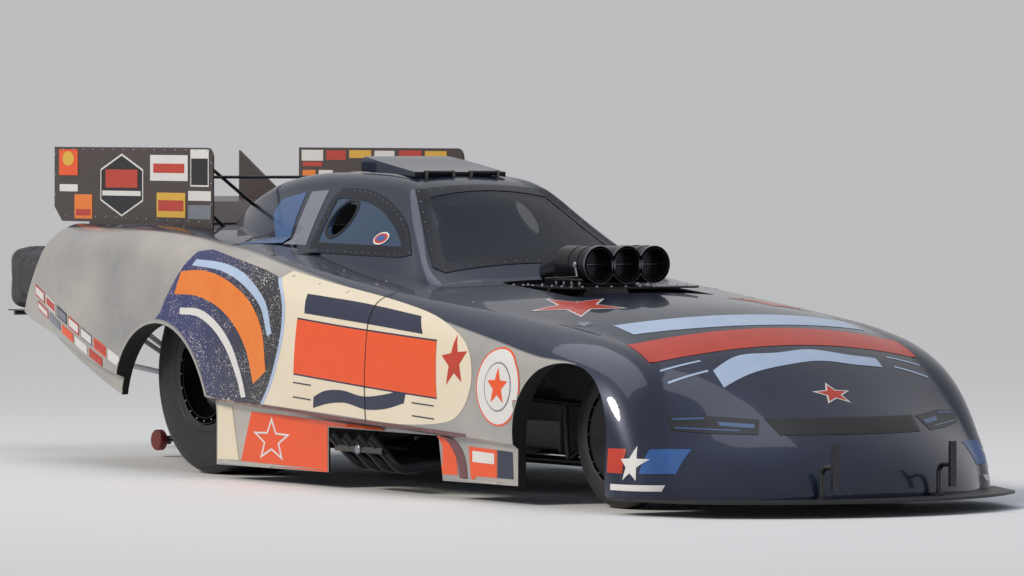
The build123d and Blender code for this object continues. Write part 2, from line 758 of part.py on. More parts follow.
# Bucket seat on brackets from the upper rails
seat_half_width = 185
with BuildPart() as driver_seat:
    extrude(
        side_view([
            at(655, 0, 420)[::2], at(655, 0, 452)[::2], at(385, 0, 428)[::2],
            at(305, 0, 482)[::2], at(238, 0, 985)[::2], at(206, 0, 985)[::2],
            at(262, 0, 470)[::2], at(330, 0, 392)[::2],
        ]),
        amount=seat_half_width, both=True,
    )
    for side in (-1, 1):
        with BuildSketch(Plane.XZ.offset(-side * seat_half_width)):
            with BuildLine():
                Polyline(
                    at(655, 0, 420)[::2], at(630, 0, 520)[::2], at(430, 0, 555)[::2],
                    at(352, 0, 660)[::2], at(318, 0, 880)[::2], at(238, 0, 985)[::2],
                    at(206, 0, 985)[::2], at(262, 0, 470)[::2], at(330, 0, 392)[::2], close=True,
                )
            make_face()
        extrude(amount=-side * 20)
        bracket = rail_y - upper_rail_radius - seat_clearance - seat_half_width
        with Locations((rear_axle_x + 290, side * (seat_half_width + bracket / 2), 588)):
            Box(60, bracket, 16)
save(driver_seat.part, "driver_seat")

# Steering wheel on its shaft in the column
with BuildPart() as steering_wheel:
    wheel_plane = column_plane.offset(420)
    with BuildSketch(column_plane.offset(-40)):
        Circle(10)
    extrude(amount=470)
    with BuildSketch(wheel_plane.offset(-12)):
        Circle(26)
    extrude(amount=24)
    with Locations(wheel_plane):
        Torus(125, 11)
    with BuildSketch(wheel_plane.offset(-4)):
        Rectangle(240, 22)
        with Locations((0, -60)):
            Rectangle(22, 120)
    extrude(amount=8)
save(steering_wheel.part, "steering_wheel")

# Engine: block, heads, manifold and bellhousing in one
head_low = (300, 470)
head_high = (345, 540)
manifold_top_z = 660
engine_front_x = engine_rear_x + engine_length
with BuildPart() as engine_block:
    with BuildSketch(Plane.YZ.offset(engine_rear_x)):
        with BuildLine():
            Polyline(
                (0, 172), (130, 172), (150, 300), (190, 380), head_low, head_high, (232, 668),
                (120, 585), (105, manifold_top_z), (0, manifold_top_z), close=True,
            )
        make_face()
        mirror(about=Plane.YZ)
    extrude(amount=engine_length)
    with BuildSketch(Plane.XZ):
        with BuildLine():
            Polyline(
                (engine_rear_x + 5, crank_z), (engine_rear_x + 5, crank_z + 198),
                (engine_rear_x - 150, crank_z + 188), (engine_rear_x - 188, crank_z + 95),
                (engine_rear_x - 188, crank_z), close=True,
            )
        make_face()
    revolve(axis=Axis((0, 0, crank_z), (1, 0, 0)))
    # Valve cover ribs
    for side in (-1, 1):
        cover_plane = Plane(
            origin=(0, side * (head_high[0] + 232) / 2, (head_high[1] + 668) / 2),
            x_dir=(1, 0, 0), z_dir=(0, side * 0.75, 0.66),
        )
        with BuildSketch(cover_plane):
            with GridLocations(1, 26, 1, 4):
                with Locations((engine_rear_x + engine_length / 2, 0)):
                    Rectangle(engine_length - 60, 8)
        extrude(amount=10)
    # Plates that hold the engine between the rails
    for plate_x in (engine_rear_x + 6, engine_front_x - 6):
        with Locations((plate_x, 0, 300)):
            Box(12, 2 * (rail_y - 10), 250)
    add(chassis_frame.part, mode=Mode.SUBTRACT)
save(engine_block.part.solids().sort_by(SortBy.VOLUME)[-1], "engine_block")

# Supercharger: a ribbed case with its drive at the front
blower_top_z = 890
blower_rear_x = engine_rear_x + 60
blower_length = 580
drive_pulley_radius = 74
starter_bore_radius = 16
with BuildPart() as supercharger:
    for first_x, length, growth in [(blower_rear_x, blower_length, 0)] + [
        (blower_rear_x + 20 + 44 * rib, 10, 9) for rib in range(13)
    ]:
        with BuildSketch(Plane.YZ.offset(first_x)):
            with BuildLine():
                Polyline(
                    (0, manifold_top_z + seat_clearance), (96, manifold_top_z + seat_clearance),
                    (142 + growth, manifold_top_z + 60), (142 + growth, blower_top_z - 60),
                    (100 + growth, blower_top_z), (0, blower_top_z), close=True,
                )
            make_face()
            mirror(about=Plane.YZ)
        extrude(amount=length)
    drive_axis_z = (manifold_top_z + blower_top_z) / 2
    with BuildSketch(Plane.YZ.offset(blower_rear_x + blower_length)):
        with Locations((0, drive_axis_z)):
            Circle(52)
    extrude(amount=110)
    with BuildSketch(Plane.YZ.offset(blower_rear_x + blower_length + 40)):
        with Locations((0, drive_axis_z)):
            Circle(drive_pulley_radius)
    extrude(amount=62)
    with BuildSketch(Plane.YZ.offset(blower_rear_x + blower_length + 70)):
        with Locations((0, drive_axis_z)):
            Circle(starter_bore_radius)
    extrude(amount=60, mode=Mode.SUBTRACT)
save(supercharger.part, "supercharger")

# Injector: a plate on the supercharger and a three-barrel hat on the plate
injector_plate_top_z = blower_top_z + seat_clearance + 8
injector_plate_x = (rear_axle_x + 1800, rear_axle_x + 2340)
with BuildPart() as injector_plate:
    with BuildSketch(Plane.XY.offset(injector_plate_top_z - 8)):
        with Locations((sum(injector_plate_x) / 2, 0)):
            RectangleRounded(injector_plate_x[1] - injector_plate_x[0], 660, 40)
    extrude(amount=8)
save(injector_plate.part, "injector_plate")

barrel_pitch = 144
barrel_radius = 80
barrel_bore_radius = 70
barrel_z = injector_plate_top_z + 94
hat_front_x = rear_axle_x + 2240
hat_rear_x = rear_axle_x + 1810
hat_shoulder_x = rear_axle_x + 2000
with BuildPart() as injector_hat:
    with BuildSketch(Plane.YZ.offset(hat_shoulder_x)):
        with GridLocations(barrel_pitch, 1, 3, 1):
            with Locations((0, barrel_z)):
                Circle(barrel_radius)
    extrude(amount=hat_front_x - hat_shoulder_x)
    with BuildSketch(Plane.YZ.offset(hat_shoulder_x + 20)) as hat_mouth:
        with Locations((0, barrel_z)):
            RectangleRounded(2 * (barrel_pitch + barrel_radius) - 12, 2 * barrel_radius - 12, 60)
    with BuildSketch(Plane.YZ.offset(hat_rear_x)) as hat_tail:
        with Locations((0, barrel_z - 36)):
            RectangleRounded(2 * barrel_pitch + 60, 84, 38)
    loft([hat_tail.sketch, hat_mouth.sketch])
    with BuildSketch(Plane.XY.offset(injector_plate_top_z + seat_clearance)):
        with Locations(((hat_rear_x + hat_front_x) / 2 - 70, 0)):
            RectangleRounded(hat_front_x - hat_rear_x - 190, 2 * barrel_pitch + 60, 30)
    extrude(amount=60)
    # Bores with closed butterflies on a shaft
    with BuildSketch(Plane.YZ.offset(hat_front_x - 160)):
        with GridLocations(barrel_pitch, 1, 3, 1):
            with Locations((0, barrel_z)):
                Circle(barrel_bore_radius)
    extrude(amount=180, mode=Mode.SUBTRACT)
    with Locations((hat_front_x - 70, 0, barrel_z)):
        Cylinder(6, 2 * (barrel_pitch + barrel_radius) + 16, rotation=(90, 0, 0))
        with GridLocations(1, barrel_pitch, 1, 3):
            Cylinder(barrel_bore_radius + 1, 4, rotation=(0, 90, 0))
save(injector_hat.part, "injector_hat")

# Headers: four pipes a side from the heads, out through the rocker notch
pipe_radius = 26
pipe_bore_radius = 23
port_pitch = 155
tip_pitch = 105
first_port_x = engine_rear_x + 110
first_tip_x = notch_rear_x + 95
port_mid = ((head_low[0] + head_high[0]) / 2, (head_low[1] + head_high[1]) / 2)
port_out = (0.841, -0.541)
with BuildPart() as headers_left:
    for pipe in range(4):
        port_pipe_x = first_port_x + pipe * port_pitch
        tip_x = first_tip_x + pipe * tip_pitch
        route = [
            (port_pipe_x, port_mid[0] + seat_clearance * port_out[0],
             port_mid[1] + seat_clearance * port_out[1]),
            (port_pipe_x, port_mid[0] + 130 * port_out[0], port_mid[1] + 130 * port_out[1]),
            (port_pipe_x + 10, 620, 165),
            (tip_x + 140, 905, 108),
            (tip_x, 965, 236),
        ]
        tube(route, pipe_radius, bend=60)
        tip = Vector(*route[-1])
        with BuildSketch(Plane(origin=tip, z_dir=Vector(*route[-2]) - tip)):
            Circle(pipe_bore_radius)
        extrude(amount=80, mode=Mode.SUBTRACT)
    flange_plane = Plane(
        origin=(first_port_x + 1.5 * port_pitch, *port_mid), x_dir=(1, 0, 0),
        z_dir=(0, *port_out),
    )
    with BuildSketch(flange_plane.offset(seat_clearance)):
        Rectangle(3 * port_pitch + 90, 66)
    extrude(amount=9)
headers_right = headers_left.part.mirror(Plane.XZ)
save(headers_left.part, "headers_left")
save(headers_right, "headers_right")

# Fuel tank on its bearers between the front rails
with BuildPart() as fuel_tank:
    tank_low_z = tank_bearer_z + upper_rail_radius + seat_clearance
    tank_mid_x = rear_axle_x + (tank_rear_x + tank_front_x) / 2
    with BuildSketch(Plane.XY.offset(tank_low_z)):
        with Locations((tank_mid_x, 0)):
            RectangleRounded(tank_front_x - tank_rear_x, 370, 40)
    extrude(amount=235)
    with BuildSketch(Plane.XY.offset(tank_low_z + 235)):
        with Locations((tank_mid_x + 70, 0)):
            Circle(32)
    extrude(amount=24)
save(fuel_tank.part, "fuel_tank")

# Rear axle housing with the pinion snout and the drive tube
shaft_radius = 28
with BuildPart() as rear_axle_housing:
    with BuildSketch(Plane.YZ.offset(rear_axle_x)):
        with BuildLine():
            Polyline(
                (-housing_half_length, rear_axle_z), (-housing_half_length, rear_axle_z + housing_radius),
                (-150, rear_axle_z + housing_radius), (-90, rear_axle_z + 125),
                (90, rear_axle_z + 125), (150, rear_axle_z + housing_radius),
                (housing_half_length, rear_axle_z + housing_radius), (housing_half_length, rear_axle_z),
                close=True,
            )
        make_face()
    revolve(axis=Axis((rear_axle_x, 0, rear_axle_z), (0, 1, 0)))
    with BuildSketch(Plane.YZ.offset(rear_axle_x)):
        with Locations((0, drive_z)):
            Circle(drive_radius + 20)
    extrude(amount=190)
    with BuildSketch(Plane.YZ.offset(rear_axle_x + 100)):
        with Locations((0, drive_z)):
            Circle(drive_radius)
    extrude(amount=engine_rear_x - 188 - rear_axle_x - 100 - seat_clearance)
    with Locations((rear_axle_x - 45, 0, rear_axle_z - 120)):
        Box(90, 110, 36)
    with Locations((rear_axle_x, 0, rear_axle_z)):
        Cylinder(shaft_radius + running_clearance, 4 * housing_half_length, rotation=(90, 0, 0),
                 mode=Mode.SUBTRACT)
save(rear_axle_housing.part, "rear_axle_housing")

# Front axle beam with a kingpin boss at each end
front_beam_z = 240
kingpin_y = 550
kingpin_radius = 12
boss_height = 50
spindle_radius = 14
with BuildPart() as front_axle:
    tube([(front_axle_x, -kingpin_y, front_beam_z), (front_axle_x, kingpin_y, front_beam_z)], 20)
    for side in (-1, 1):
        with Locations((front_axle_x, side * 198, 250)):
            Box(44, 14, 220)
        with Locations((front_axle_x, side * kingpin_y, front_beam_z)):
            Cylinder(kingpin_radius + 14, boss_height)
            Cylinder(kingpin_radius + running_clearance, 2 * boss_height, mode=Mode.SUBTRACT)
    add(chassis_frame.part, mode=Mode.SUBTRACT)
save(front_axle.part.solids().sort_by(SortBy.VOLUME)[-1], "front_axle")

# Knuckles: kingpin, spindle block and spindle, with a steering arm
moving_gap = 6
hub_inner_y = front_tyre_y - 58
hub_outer_y = front_tyre_y + 46
with BuildPart() as knuckle_left:
    boss_low_z = front_beam_z - boss_height / 2
    boss_high_z = front_beam_z + boss_height / 2
    with Locations((front_axle_x, kingpin_y, (boss_low_z + boss_high_z) / 2)):
        Cylinder(kingpin_radius, boss_height + 2 * moving_gap + 44)
    with Locations((front_axle_x, kingpin_y, boss_low_z - moving_gap - 11)):
        Cylinder(kingpin_radius + 10, 22)
    block_low_z = boss_high_z + moving_gap
    block_high_z = front_axle_z + 32
    with Locations((front_axle_x, kingpin_y, (block_low_z + block_high_z) / 2)):
        Box(56, 52, block_high_z - block_low_z)
    with BuildSketch(Plane.XZ.offset(-kingpin_y)):
        with Locations((front_axle_x, front_axle_z)):
            Circle(spindle_radius)
    extrude(amount=-(hub_outer_y - kingpin_y - 4))
    with Locations((front_axle_x - 90, kingpin_y - 10, front_axle_z + 16)):
        Box(140, 22, 14)
knuckle_right = knuckle_left.part.mirror(Plane.XZ)
save(knuckle_left.part, "knuckle_left")
save(knuckle_right, "knuckle_right")


def turned(x, z, profile):
    """A ring turned about the wheel axis from (y, radius) points."""
    with BuildSketch(Plane.YZ.offset(x)) as section:
        with BuildLine():
            Polyline(*[(y, z + radius) for y, radius in profile], close=True)
        make_face()
    revolve(section.sketch, axis=Axis((x, 0, z), (0, 1, 0)))


def tyre_profile(centre_y, width, inner_radius, outer_radius, shoulder):
    half = width / 2
    flank = inner_radius + 0.45 * (outer_radius - inner_radius)
    points = [
        (half - 0.08 * width, inner_radius), (half, flank), (half - 0.015 * width,
        outer_radius - 2 * shoulder), (half - 0.06 * width, outer_radius - 0.5 * shoulder),
        (half - 0.13 * width, outer_radius),
    ]
    return [(centre_y + y, r) for y, r in points] + [(centre_y - y, r) for y, r in points[::-1]]


with BuildPart() as front_tyre_left:
    turned(front_axle_x, front_axle_z, tyre_profile(
        front_tyre_y, front_tyre_width, front_rim_radius + seat_clearance, front_tyre_radius, 10))
with BuildPart() as front_rim_left:
    rim_in = front_tyre_y - front_tyre_width / 2 + 2
    rim_out = front_tyre_y + front_tyre_width / 2 - 2
    hub_bore = spindle_radius + running_clearance
    turned(front_axle_x, front_axle_z, [
        (rim_in, front_rim_radius), (rim_out, front_rim_radius),
        (rim_out, front_rim_radius - rim_wall - 6), (rim_out - 34, 110), (hub_outer_y, 40),
        (hub_outer_y, hub_bore), (hub_inner_y, hub_bore), (hub_inner_y, 38),
        (hub_outer_y - 34, 38), (rim_out - 42, 110), (rim_out - 12, front_rim_radius - rim_wall),
        (rim_in, front_rim_radius - rim_wall),
    ])
for name, part in [("front_tyre", front_tyre_left.part), ("front_rim", front_rim_left.part)]:
    mirrored_part = part.mirror(Plane.XZ)
    save(part, f"{name}_left")
    save(mirrored_part, f"{name}_right")

with BuildPart() as rear_tyre:
    turned(rear_axle_x, rear_axle_z, tyre_profile(
        rear_tyre_y, rear_tyre_width, rear_rim_radius + seat_clearance, rear_tyre_radius, 22))
with BuildPart() as rear_tyres:
    add(rear_tyre.part)
    mirror(rear_tyre.part, about=Plane.XZ)
save(rear_tyres.part, "rear_tyres")

shaft_half_length = 712
with BuildPart() as rear_rim:
    rim_in = rear_tyre_y - rear_tyre_width / 2 + 14
    rim_out = rear_tyre_y + rear_tyre_width / 2 - 14
    hub_bore = shaft_radius + seat_clearance
    turned(rear_axle_x, rear_axle_z, [
        (rim_in, rear_rim_radius), (rim_out + 6, rear_rim_radius), (rim_out + 6, 194),
        (rim_out, 194), (rim_out - 6, rear_rim_radius - 14), (rim_out - 92, 186),
        (rim_out - 104, 66), (shaft_half_length, 58), (shaft_half_length, hub_bore),
        (rim_out - 190, hub_bore), (rim_out - 190, 58), (rim_out - 116, 66),
        (rim_out - 104, 196), (rim_out - 94, rear_rim_radius - rim_wall),
        (rim_in, rear_rim_radius - rim_wall),
    ])
with BuildPart() as rear_rims:
    add(rear_rim.part)
    mirror(rear_rim.part, about=Plane.XZ)
save(rear_rims.part, "rear_rims")

with BuildPart() as rear_axle_shaft:
    with Locations((rear_axle_x, 0, rear_axle_z)):
        Cylinder(shaft_radius, 2 * shaft_half_length, rotation=(90, 0, 0))
save(rear_axle_shaft.part, "rear_axle_shaft")

# Wheelie bar: two struts a side down to a pair of small wheels
wheelie_x = rear_axle_x - 1440
wheelie_z = 80
wheelie_radius = 50
wheelie_width = 40
wheelie_pin_radius = 8
wheelie_wheel_y = 202
fork_y = 160
fork_thickness = 24
with BuildPart() as wheelie_bar:
    strut_joint = at(-1080, 173, 108)
    for low, joint, high in zip(
        both_sides(at(frame_rear_x, 200, rail_z + 30)), both_sides(strut_joint),
        both_sides(at(frame_rear_x, 200, 600)),
    ):
        side = 1 if low[0][1] > 0 else -1
        fork = (wheelie_x + 10, side * fork_y, wheelie_z)
        tube([low[0], fork], 12)
        tube([high[0], joint[0]], 10)
        with Locations((wheelie_x, side * fork_y, wheelie_z)):
            Box(44, fork_thickness, 40)
    for forward, half, height in [(-1340, 163, 88), (-900, 178, 123)]:
        tube([at(forward, -half, height), at(forward, half, height)], 9)
    with Locations((wheelie_x, 0, wheelie_z)):
        Cylinder(wheelie_pin_radius + running_clearance, 500, rotation=(90, 0, 0),
                 mode=Mode.SUBTRACT)
    add(chassis_frame.part, mode=Mode.SUBTRACT)
save(wheelie_bar.part.solids().sort_by(SortBy.VOLUME)[-1], "wheelie_bar")

with BuildPart() as wheelie_wheels:
    with Locations((wheelie_x, 0, wheelie_z)):
        Cylinder(wheelie_pin_radius, 2 * wheelie_wheel_y + wheelie_width, rotation=(90, 0, 0))
    for side in (-1, 1):
        with Locations((wheelie_x, side * wheelie_wheel_y, wheelie_z)):
            Cylinder(wheelie_radius, wheelie_width, rotation=(90, 0, 0))
    chamfer(wheelie_wheels.edges().filter_by(GeomType.CIRCLE)
            .filter_by(lambda edge: edge.radius > wheelie_radius - 1), 5)
save(wheelie_wheels.part, "wheelie_wheels")

# Parachute rack behind the body, with a tray under each pack
pack_low_z = 690
pack_high_z = 1000
pack_front_x = rear_axle_x - 1965
pack_rear_x = rear_axle_x - rear_overhang
pack_y = 340
pack_width = 320
tray_thickness = 6
rack_y = 230
rack_radius = 14
rack_z = pack_low_z - seat_clearance - tray_thickness - rack_radius + 2
with BuildPart() as chute_rack:
    for route in both_sides(at(frame_rear_x, rack_y, 600), (pack_front_x + 60, rack_y, rack_z),
                            (pack_rear_x + 60, rack_y, rack_z)):
        tube(route, rack_radius)
    for route in both_sides(at(frame_rear_x, rack_y, rail_z + 30),
                            (pack_front_x + 60, rack_y, rack_z)):
        tube(route, rack_radius - 2)
    for bar_forward in (-1700, -1150):
        rise = 600 + (rack_z - 600) * (bar_forward - frame_rear_x) / (
            pack_front_x + 60 - rear_axle_x - frame_rear_x)
        tube([at(bar_forward, -rack_y, rise), at(bar_forward, rack_y, rise)], rack_radius - 4)
    for cross_x in (pack_front_x - 60, pack_rear_x + 80):
        tube([(cross_x, -pack_y - 140, rack_z + 2), (cross_x, pack_y + 140, rack_z + 2)],
             rack_radius - 2)
    for side in (-1, 1):
        with Locations(((pack_front_x + pack_rear_x) / 2, side * pack_y,
                        pack_low_z - seat_clearance - tray_thickness / 2)):
            Box(pack_front_x - pack_rear_x - 60, pack_width - 20, tray_thickness)
    add(chassis_frame.part, mode=Mode.SUBTRACT)
rack_solid = chute_rack.part.solids().sort_by(SortBy.VOLUME)[-1]
save(rack_solid, "chute_rack")

with BuildPart() as chute_pack_left:
    with BuildSketch(Plane.XZ.offset(-pack_y - pack_width / 2)) as pack_outline:
        with BuildLine():
            Polyline(
                (pack_front_x, pack_low_z), (pack_rear_x + 24, pack_low_z),
                (pack_rear_x, pack_low_z + 90), (pack_rear_x + 36, pack_high_z),
                (pack_front_x - 30, pack_high_z - 12), (pack_front_x, pack_high_z - 70), close=True,
            )
        make_face()
        fillet(pack_outline.vertices(), 22)
    extrude(amount=pack_width)
    fillet(chute_pack_left.faces().filter_by(Axis.Y).edges(), 16)
chute_pack_right = chute_pack_left.part.mirror(Plane.XZ)
save(chute_pack_left.part, "chute_pack_left")
save(chute_pack_right, "chute_pack_right")

# Tethers from the trays down to the rack's lower tubes
with BuildPart() as tether_half:
    tube([
        (pack_front_x - 60, 300, pack_low_z - seat_clearance - tray_thickness / 2),
        (pack_front_x + 40, 300, 590), at(-1670, 300, 447), at(-1300, 296, 417),
        at(-1090, rack_y, 412),
    ], 13, bend=60)
    add(rack_solid, mode=Mode.SUBTRACT)
tether_solid = tether_half.part.solids().sort_by(SortBy.VOLUME)[-1]
with BuildPart() as chute_tethers:
    add(tether_solid)
    mirror(tether_solid, about=Plane.XZ)
save(chute_tethers.part, "chute_tethers")
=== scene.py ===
import json
import logging
import math
from dataclasses import dataclass
from enum import Enum

import bmesh
import bpy
from mathutils import Matrix, Vector
from mathutils.bvhtree import BVHTree

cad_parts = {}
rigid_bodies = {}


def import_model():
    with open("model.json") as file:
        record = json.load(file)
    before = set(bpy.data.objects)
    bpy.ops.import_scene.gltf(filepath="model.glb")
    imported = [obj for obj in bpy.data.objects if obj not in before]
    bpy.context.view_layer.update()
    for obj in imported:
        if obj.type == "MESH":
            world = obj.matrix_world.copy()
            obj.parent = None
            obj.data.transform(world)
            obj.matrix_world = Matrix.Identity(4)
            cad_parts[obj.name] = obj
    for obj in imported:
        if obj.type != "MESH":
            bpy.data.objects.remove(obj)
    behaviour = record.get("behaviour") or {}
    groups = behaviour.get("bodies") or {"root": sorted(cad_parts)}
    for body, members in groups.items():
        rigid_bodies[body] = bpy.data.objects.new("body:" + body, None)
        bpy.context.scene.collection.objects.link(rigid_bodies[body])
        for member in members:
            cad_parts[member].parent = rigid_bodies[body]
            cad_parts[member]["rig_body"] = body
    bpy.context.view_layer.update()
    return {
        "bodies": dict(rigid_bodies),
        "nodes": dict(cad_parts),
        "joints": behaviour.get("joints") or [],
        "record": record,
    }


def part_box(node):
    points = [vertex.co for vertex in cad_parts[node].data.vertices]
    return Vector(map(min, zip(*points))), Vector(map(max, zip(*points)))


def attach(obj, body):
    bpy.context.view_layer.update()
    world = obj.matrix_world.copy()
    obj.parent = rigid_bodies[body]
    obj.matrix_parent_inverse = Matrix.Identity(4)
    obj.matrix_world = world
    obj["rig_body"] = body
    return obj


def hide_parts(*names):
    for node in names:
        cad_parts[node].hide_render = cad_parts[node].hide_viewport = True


log = logging.getLogger("drag_racing_car")

REAR_AXLE_X = -0.895
REAR_RADIUS = 0.45
FRONT_AXLE_X = 2.28
FRONT_RADIUS = 0.302
FORWARD, UP = Vector((1, 0, 0)), Vector((0, 0, 1))
Point2 = tuple[float, float]
Outline = list[Point2]
Socket = bpy.types.NodeSocket
Colour = tuple[float, float, float, float]


class Side(Enum):
    """The two flanks of the car, by the sign of Y."""

    RIGHT = -1
    LEFT = 1


class View(Enum):
    """The direction from which an outline is laid on the body, by the axis that it looks along."""

    NOSE = 0
    FLANK = 1
    PLAN = 2


# How far from the origin a ray towards the body starts
RAY_START = {View.NOSE: 4.5, View.FLANK: 3.0, View.PLAN: 3.0}


# Materials


def linear(hex_colour: str) -> Colour:
    """Turns an sRGB hex colour into linear values.

    Args:
        hex_colour: six hex digits, such as "10182a".

    Returns:
        Red, green, blue and an alpha of 1.
    """
    channels = []
    for place in (0, 2, 4):
        value = int(hex_colour[place : place + 2], 16) / 255
        channels.append(value / 12.92 if value <= 0.04045 else ((value + 0.055) / 1.055) ** 2.4)
    return (*channels, 1.0)


@dataclass
class Graph:
    """A node tree under construction. An input is a value, or the socket that feeds it."""

    tree: bpy.types.NodeTree

    def add(self, kind: str, settings: dict | None = None, inputs: dict | None = None) -> bpy.types.Node:
        """Adds one node.

        Args:
            kind: the node's type name after ShaderNode.
            settings: properties to set on the node.
            inputs: socket name or number to its input.

        Returns:
            The new node.
        """
        node = self.tree.nodes.new(f"ShaderNode{kind}")
        for name, value in (settings or {}).items():
            setattr(node, name, value)
        for socket, value in (inputs or {}).items():
            if isinstance(value, Socket):
                self.tree.links.new(value, node.inputs[socket])
            else:
                node.inputs[socket].default_value = value
        return node

    def noise(self, place: Socket, scale: float, detail: float = 2.0, weight: float = 0.5) -> Socket:
        """Adds a noise.

        Args:
            place: the point on the object.
            scale: its features per metre.
            detail: the number of finer layers.
            weight: how much each finer layer adds.

        Returns:
            Its strength, around 0.5.
        """
        inputs = {"Vector": place, "Scale": scale, "Detail": detail, "Roughness": weight}
        return self.add("TexNoise", None, inputs).outputs["Fac"]

    def ranged(self, value: Socket, low: float, high: float, to: Point2 = (0.0, 1.0)) -> Socket:
        """Maps a range of values to another, clamped.

        Args:
            value: what is mapped.
            low: where the range starts.
            high: where the range ends.
            to: the new range.

        Returns:
            The mapped value.
        """
        inputs = {"Value": value, "From Min": low, "From Max": high, "To Min": to[0], "To Max": to[1]}
        return self.add("MapRange", None, inputs).outputs[0]

    def maths(self, operation: str, *values: Socket | float) -> Socket:
        """Adds one arithmetic step.

        Args:
            operation: Blender's name for it.
            values: its inputs in order.

        Returns:
            The result.
        """
        return self.add("Math", {"operation": operation}, dict(enumerate(values))).outputs[0]

    def blend(self, share: Socket, first: Colour | Socket, second: Colour | Socket) -> Socket:
        """Mixes two colours.

        Args:
            share: how much of the second shows.
            first: the colour at 0.
            second: the colour at 1.

        Returns:
            The mixed colour.
        """
        return self.add("Mix", {"data_type": "RGBA"}, {0: share, 6: first, 7: second}).outputs[2]

    def bump(self, height: Socket, distance: float, strength: float) -> Socket:
        """Adds a fine relief.

        Args:
            height: the relief.
            distance: its depth in metres.
            strength: how much of it shows.

        Returns:
            The normal.
        """
        inputs = {"Height": height, "Distance": distance, "Strength": strength}
        return self.add("Bump", None, inputs).outputs[0]


@dataclass(frozen=True)
class Finish:
    """A surface finish: a base colour with a fine mottle, and a bump at a real scale."""

    name: str
    colour: str
    second: str
    metallic: float = 0.0
    roughness: float = 0.5
    rough_spread: float = 0.06
    coat: float = 0.0
    coat_roughness: float = 0.04
    mottle_mm: float = 60.0
    grain_mm: float = 3.0
    grain_depth_mm: float = 0.02
    sheen: float = 0.0

    def values(self) -> dict[str, float | Colour]:
        """Gives the constants on the main shader.

        Returns:
            Socket name to value.
        """
        return {
            "Base Color": linear(self.colour), "Metallic": self.metallic, "Coat Weight": self.coat,
            "Coat Roughness": self.coat_roughness, "Sheen Weight": self.sheen,
        }

    def colour_source(self, graph: Graph, place: Socket) -> Socket:
        """Adds the nodes that give the colour.

        Args:
            graph: the material's nodes.
            place: the point on the object.

        Returns:
            The colour.
        """
        mottle = graph.noise(place, 1000 / self.mottle_mm, 4.0)
        return graph.blend(mottle, linear(self.colour), linear(self.second))

    def relief(self, graph: Graph, place: Socket, grain: Socket) -> Socket | None:
        """Adds the nodes that give the relief.

        Args:
            graph: the material's nodes.
            place: the point on the object.
            grain: the fine grain.

        Returns:
            The normal, or None on a smooth surface.
        """
        return graph.bump(grain, self.grain_depth_mm / 1000, 1.0) if self.grain_depth_mm else None

    def build(self) -> bpy.types.Material:
        """Makes the material, or returns it if it has been made.

        Returns:
            The finished material.
        """
        if self.name in bpy.data.materials:
            return bpy.data.materials[self.name]
        material = bpy.data.materials.new(self.name)
        material.use_nodes = True
        material.node_tree.nodes.clear()
        graph = Graph(material.node_tree)
        place = graph.add("TexCoord").outputs["Object"]
        grain = graph.noise(place, 1000 / self.grain_mm)
        smoothest = max(self.roughness - self.rough_spread, 0.02)
        roughest = min(self.roughness + self.rough_spread, 1.0)
        inputs = self.values()
        inputs["Roughness"] = graph.ranged(grain, 0.3, 0.7, (smoothest, roughest))
        shader = graph.add("BsdfPrincipled", None, inputs)
        graph.add("OutputMaterial", None, {"Surface": shader.outputs[0]})
        graph.tree.links.new(self.colour_source(graph, place), shader.inputs["Base Color"])
        normal = self.relief(graph, place, grain)
        if normal is not None:
            graph.tree.links.new(normal, shader.inputs["Normal"])
        return material


@dataclass(frozen=True)
class BodyPaint(Finish):
    """Two-colour gloss paint under clear coat: dark above a waist line, pearl below it.

    The waist is a list of (x, z) points along the flank, in metres.
    """

    below: str = "9a958c"
    below_second: str = "6d6a66"
    waist: tuple[Point2, ...] = ()
    span: Point2 = (-3.4, 3.4)
    tall: float = 1.6
    edge: float = 0.004

    def colour_source(self, graph: Graph, place: Socket) -> Socket:
        """Adds the two colours and the line between them; see Finish."""
        split = graph.add("SeparateXYZ", None, {0: place}).outputs
        line = graph.add("FloatCurve", None, {"Value": graph.ranged(split["X"], *self.span)})
        points = line.mapping.curves[0].points
        start, end = self.span
        places = [((x - start) / (end - start), z / self.tall) for x, z in self.waist]
        points[0].location, points[-1].location = places[0], places[-1]
        for spot in places[1:-1]:
            points.new(*spot)
        line.mapping.update()
        height = graph.maths("MULTIPLY_ADD", line.outputs[0], -self.tall, split["Z"])
        cloud = graph.ranged(graph.noise(place, 1000 / self.mottle_mm, 5.0, 0.6), 0.35, 0.65)
        low = graph.blend(cloud, linear(self.below), linear(self.below_second))
        high = graph.blend(cloud, linear(self.colour), linear(self.second))
        return graph.blend(graph.ranged(height, -self.edge, self.edge), low, high)


@dataclass(frozen=True)
class SpeckledPrint(Finish):
    """Printed vinyl that fades from one colour to another along X, with a scatter of pale flecks."""

    fade: str = "40406c"
    fade_x: Point2 = (-0.9, 0.2)
    fleck: str = "c9c4bc"
    fleck_mm: float = 7.0
    cloud_mm: float = 1000 / 7
    cloud_weight: float = 0.35
    fleck_range: Point2 = (0.83, 0.86)

    def colour_source(self, graph: Graph, place: Socket) -> Socket:
        """Adds the fade and the flecks; see Finish."""
        run = graph.add("SeparateXYZ", None, {0: place}).outputs["X"]
        base = graph.blend(graph.ranged(run, *self.fade_x), linear(self.fade), linear(self.colour))
        scatter = graph.noise(place, 1000 / self.fleck_mm, 1.0)
        cloud = graph.noise(place, 1000 / self.cloud_mm)
        level = graph.maths("MULTIPLY_ADD", cloud, self.cloud_weight, scatter)
        return graph.blend(graph.ranged(level, *self.fleck_range), base, linear(self.fleck))


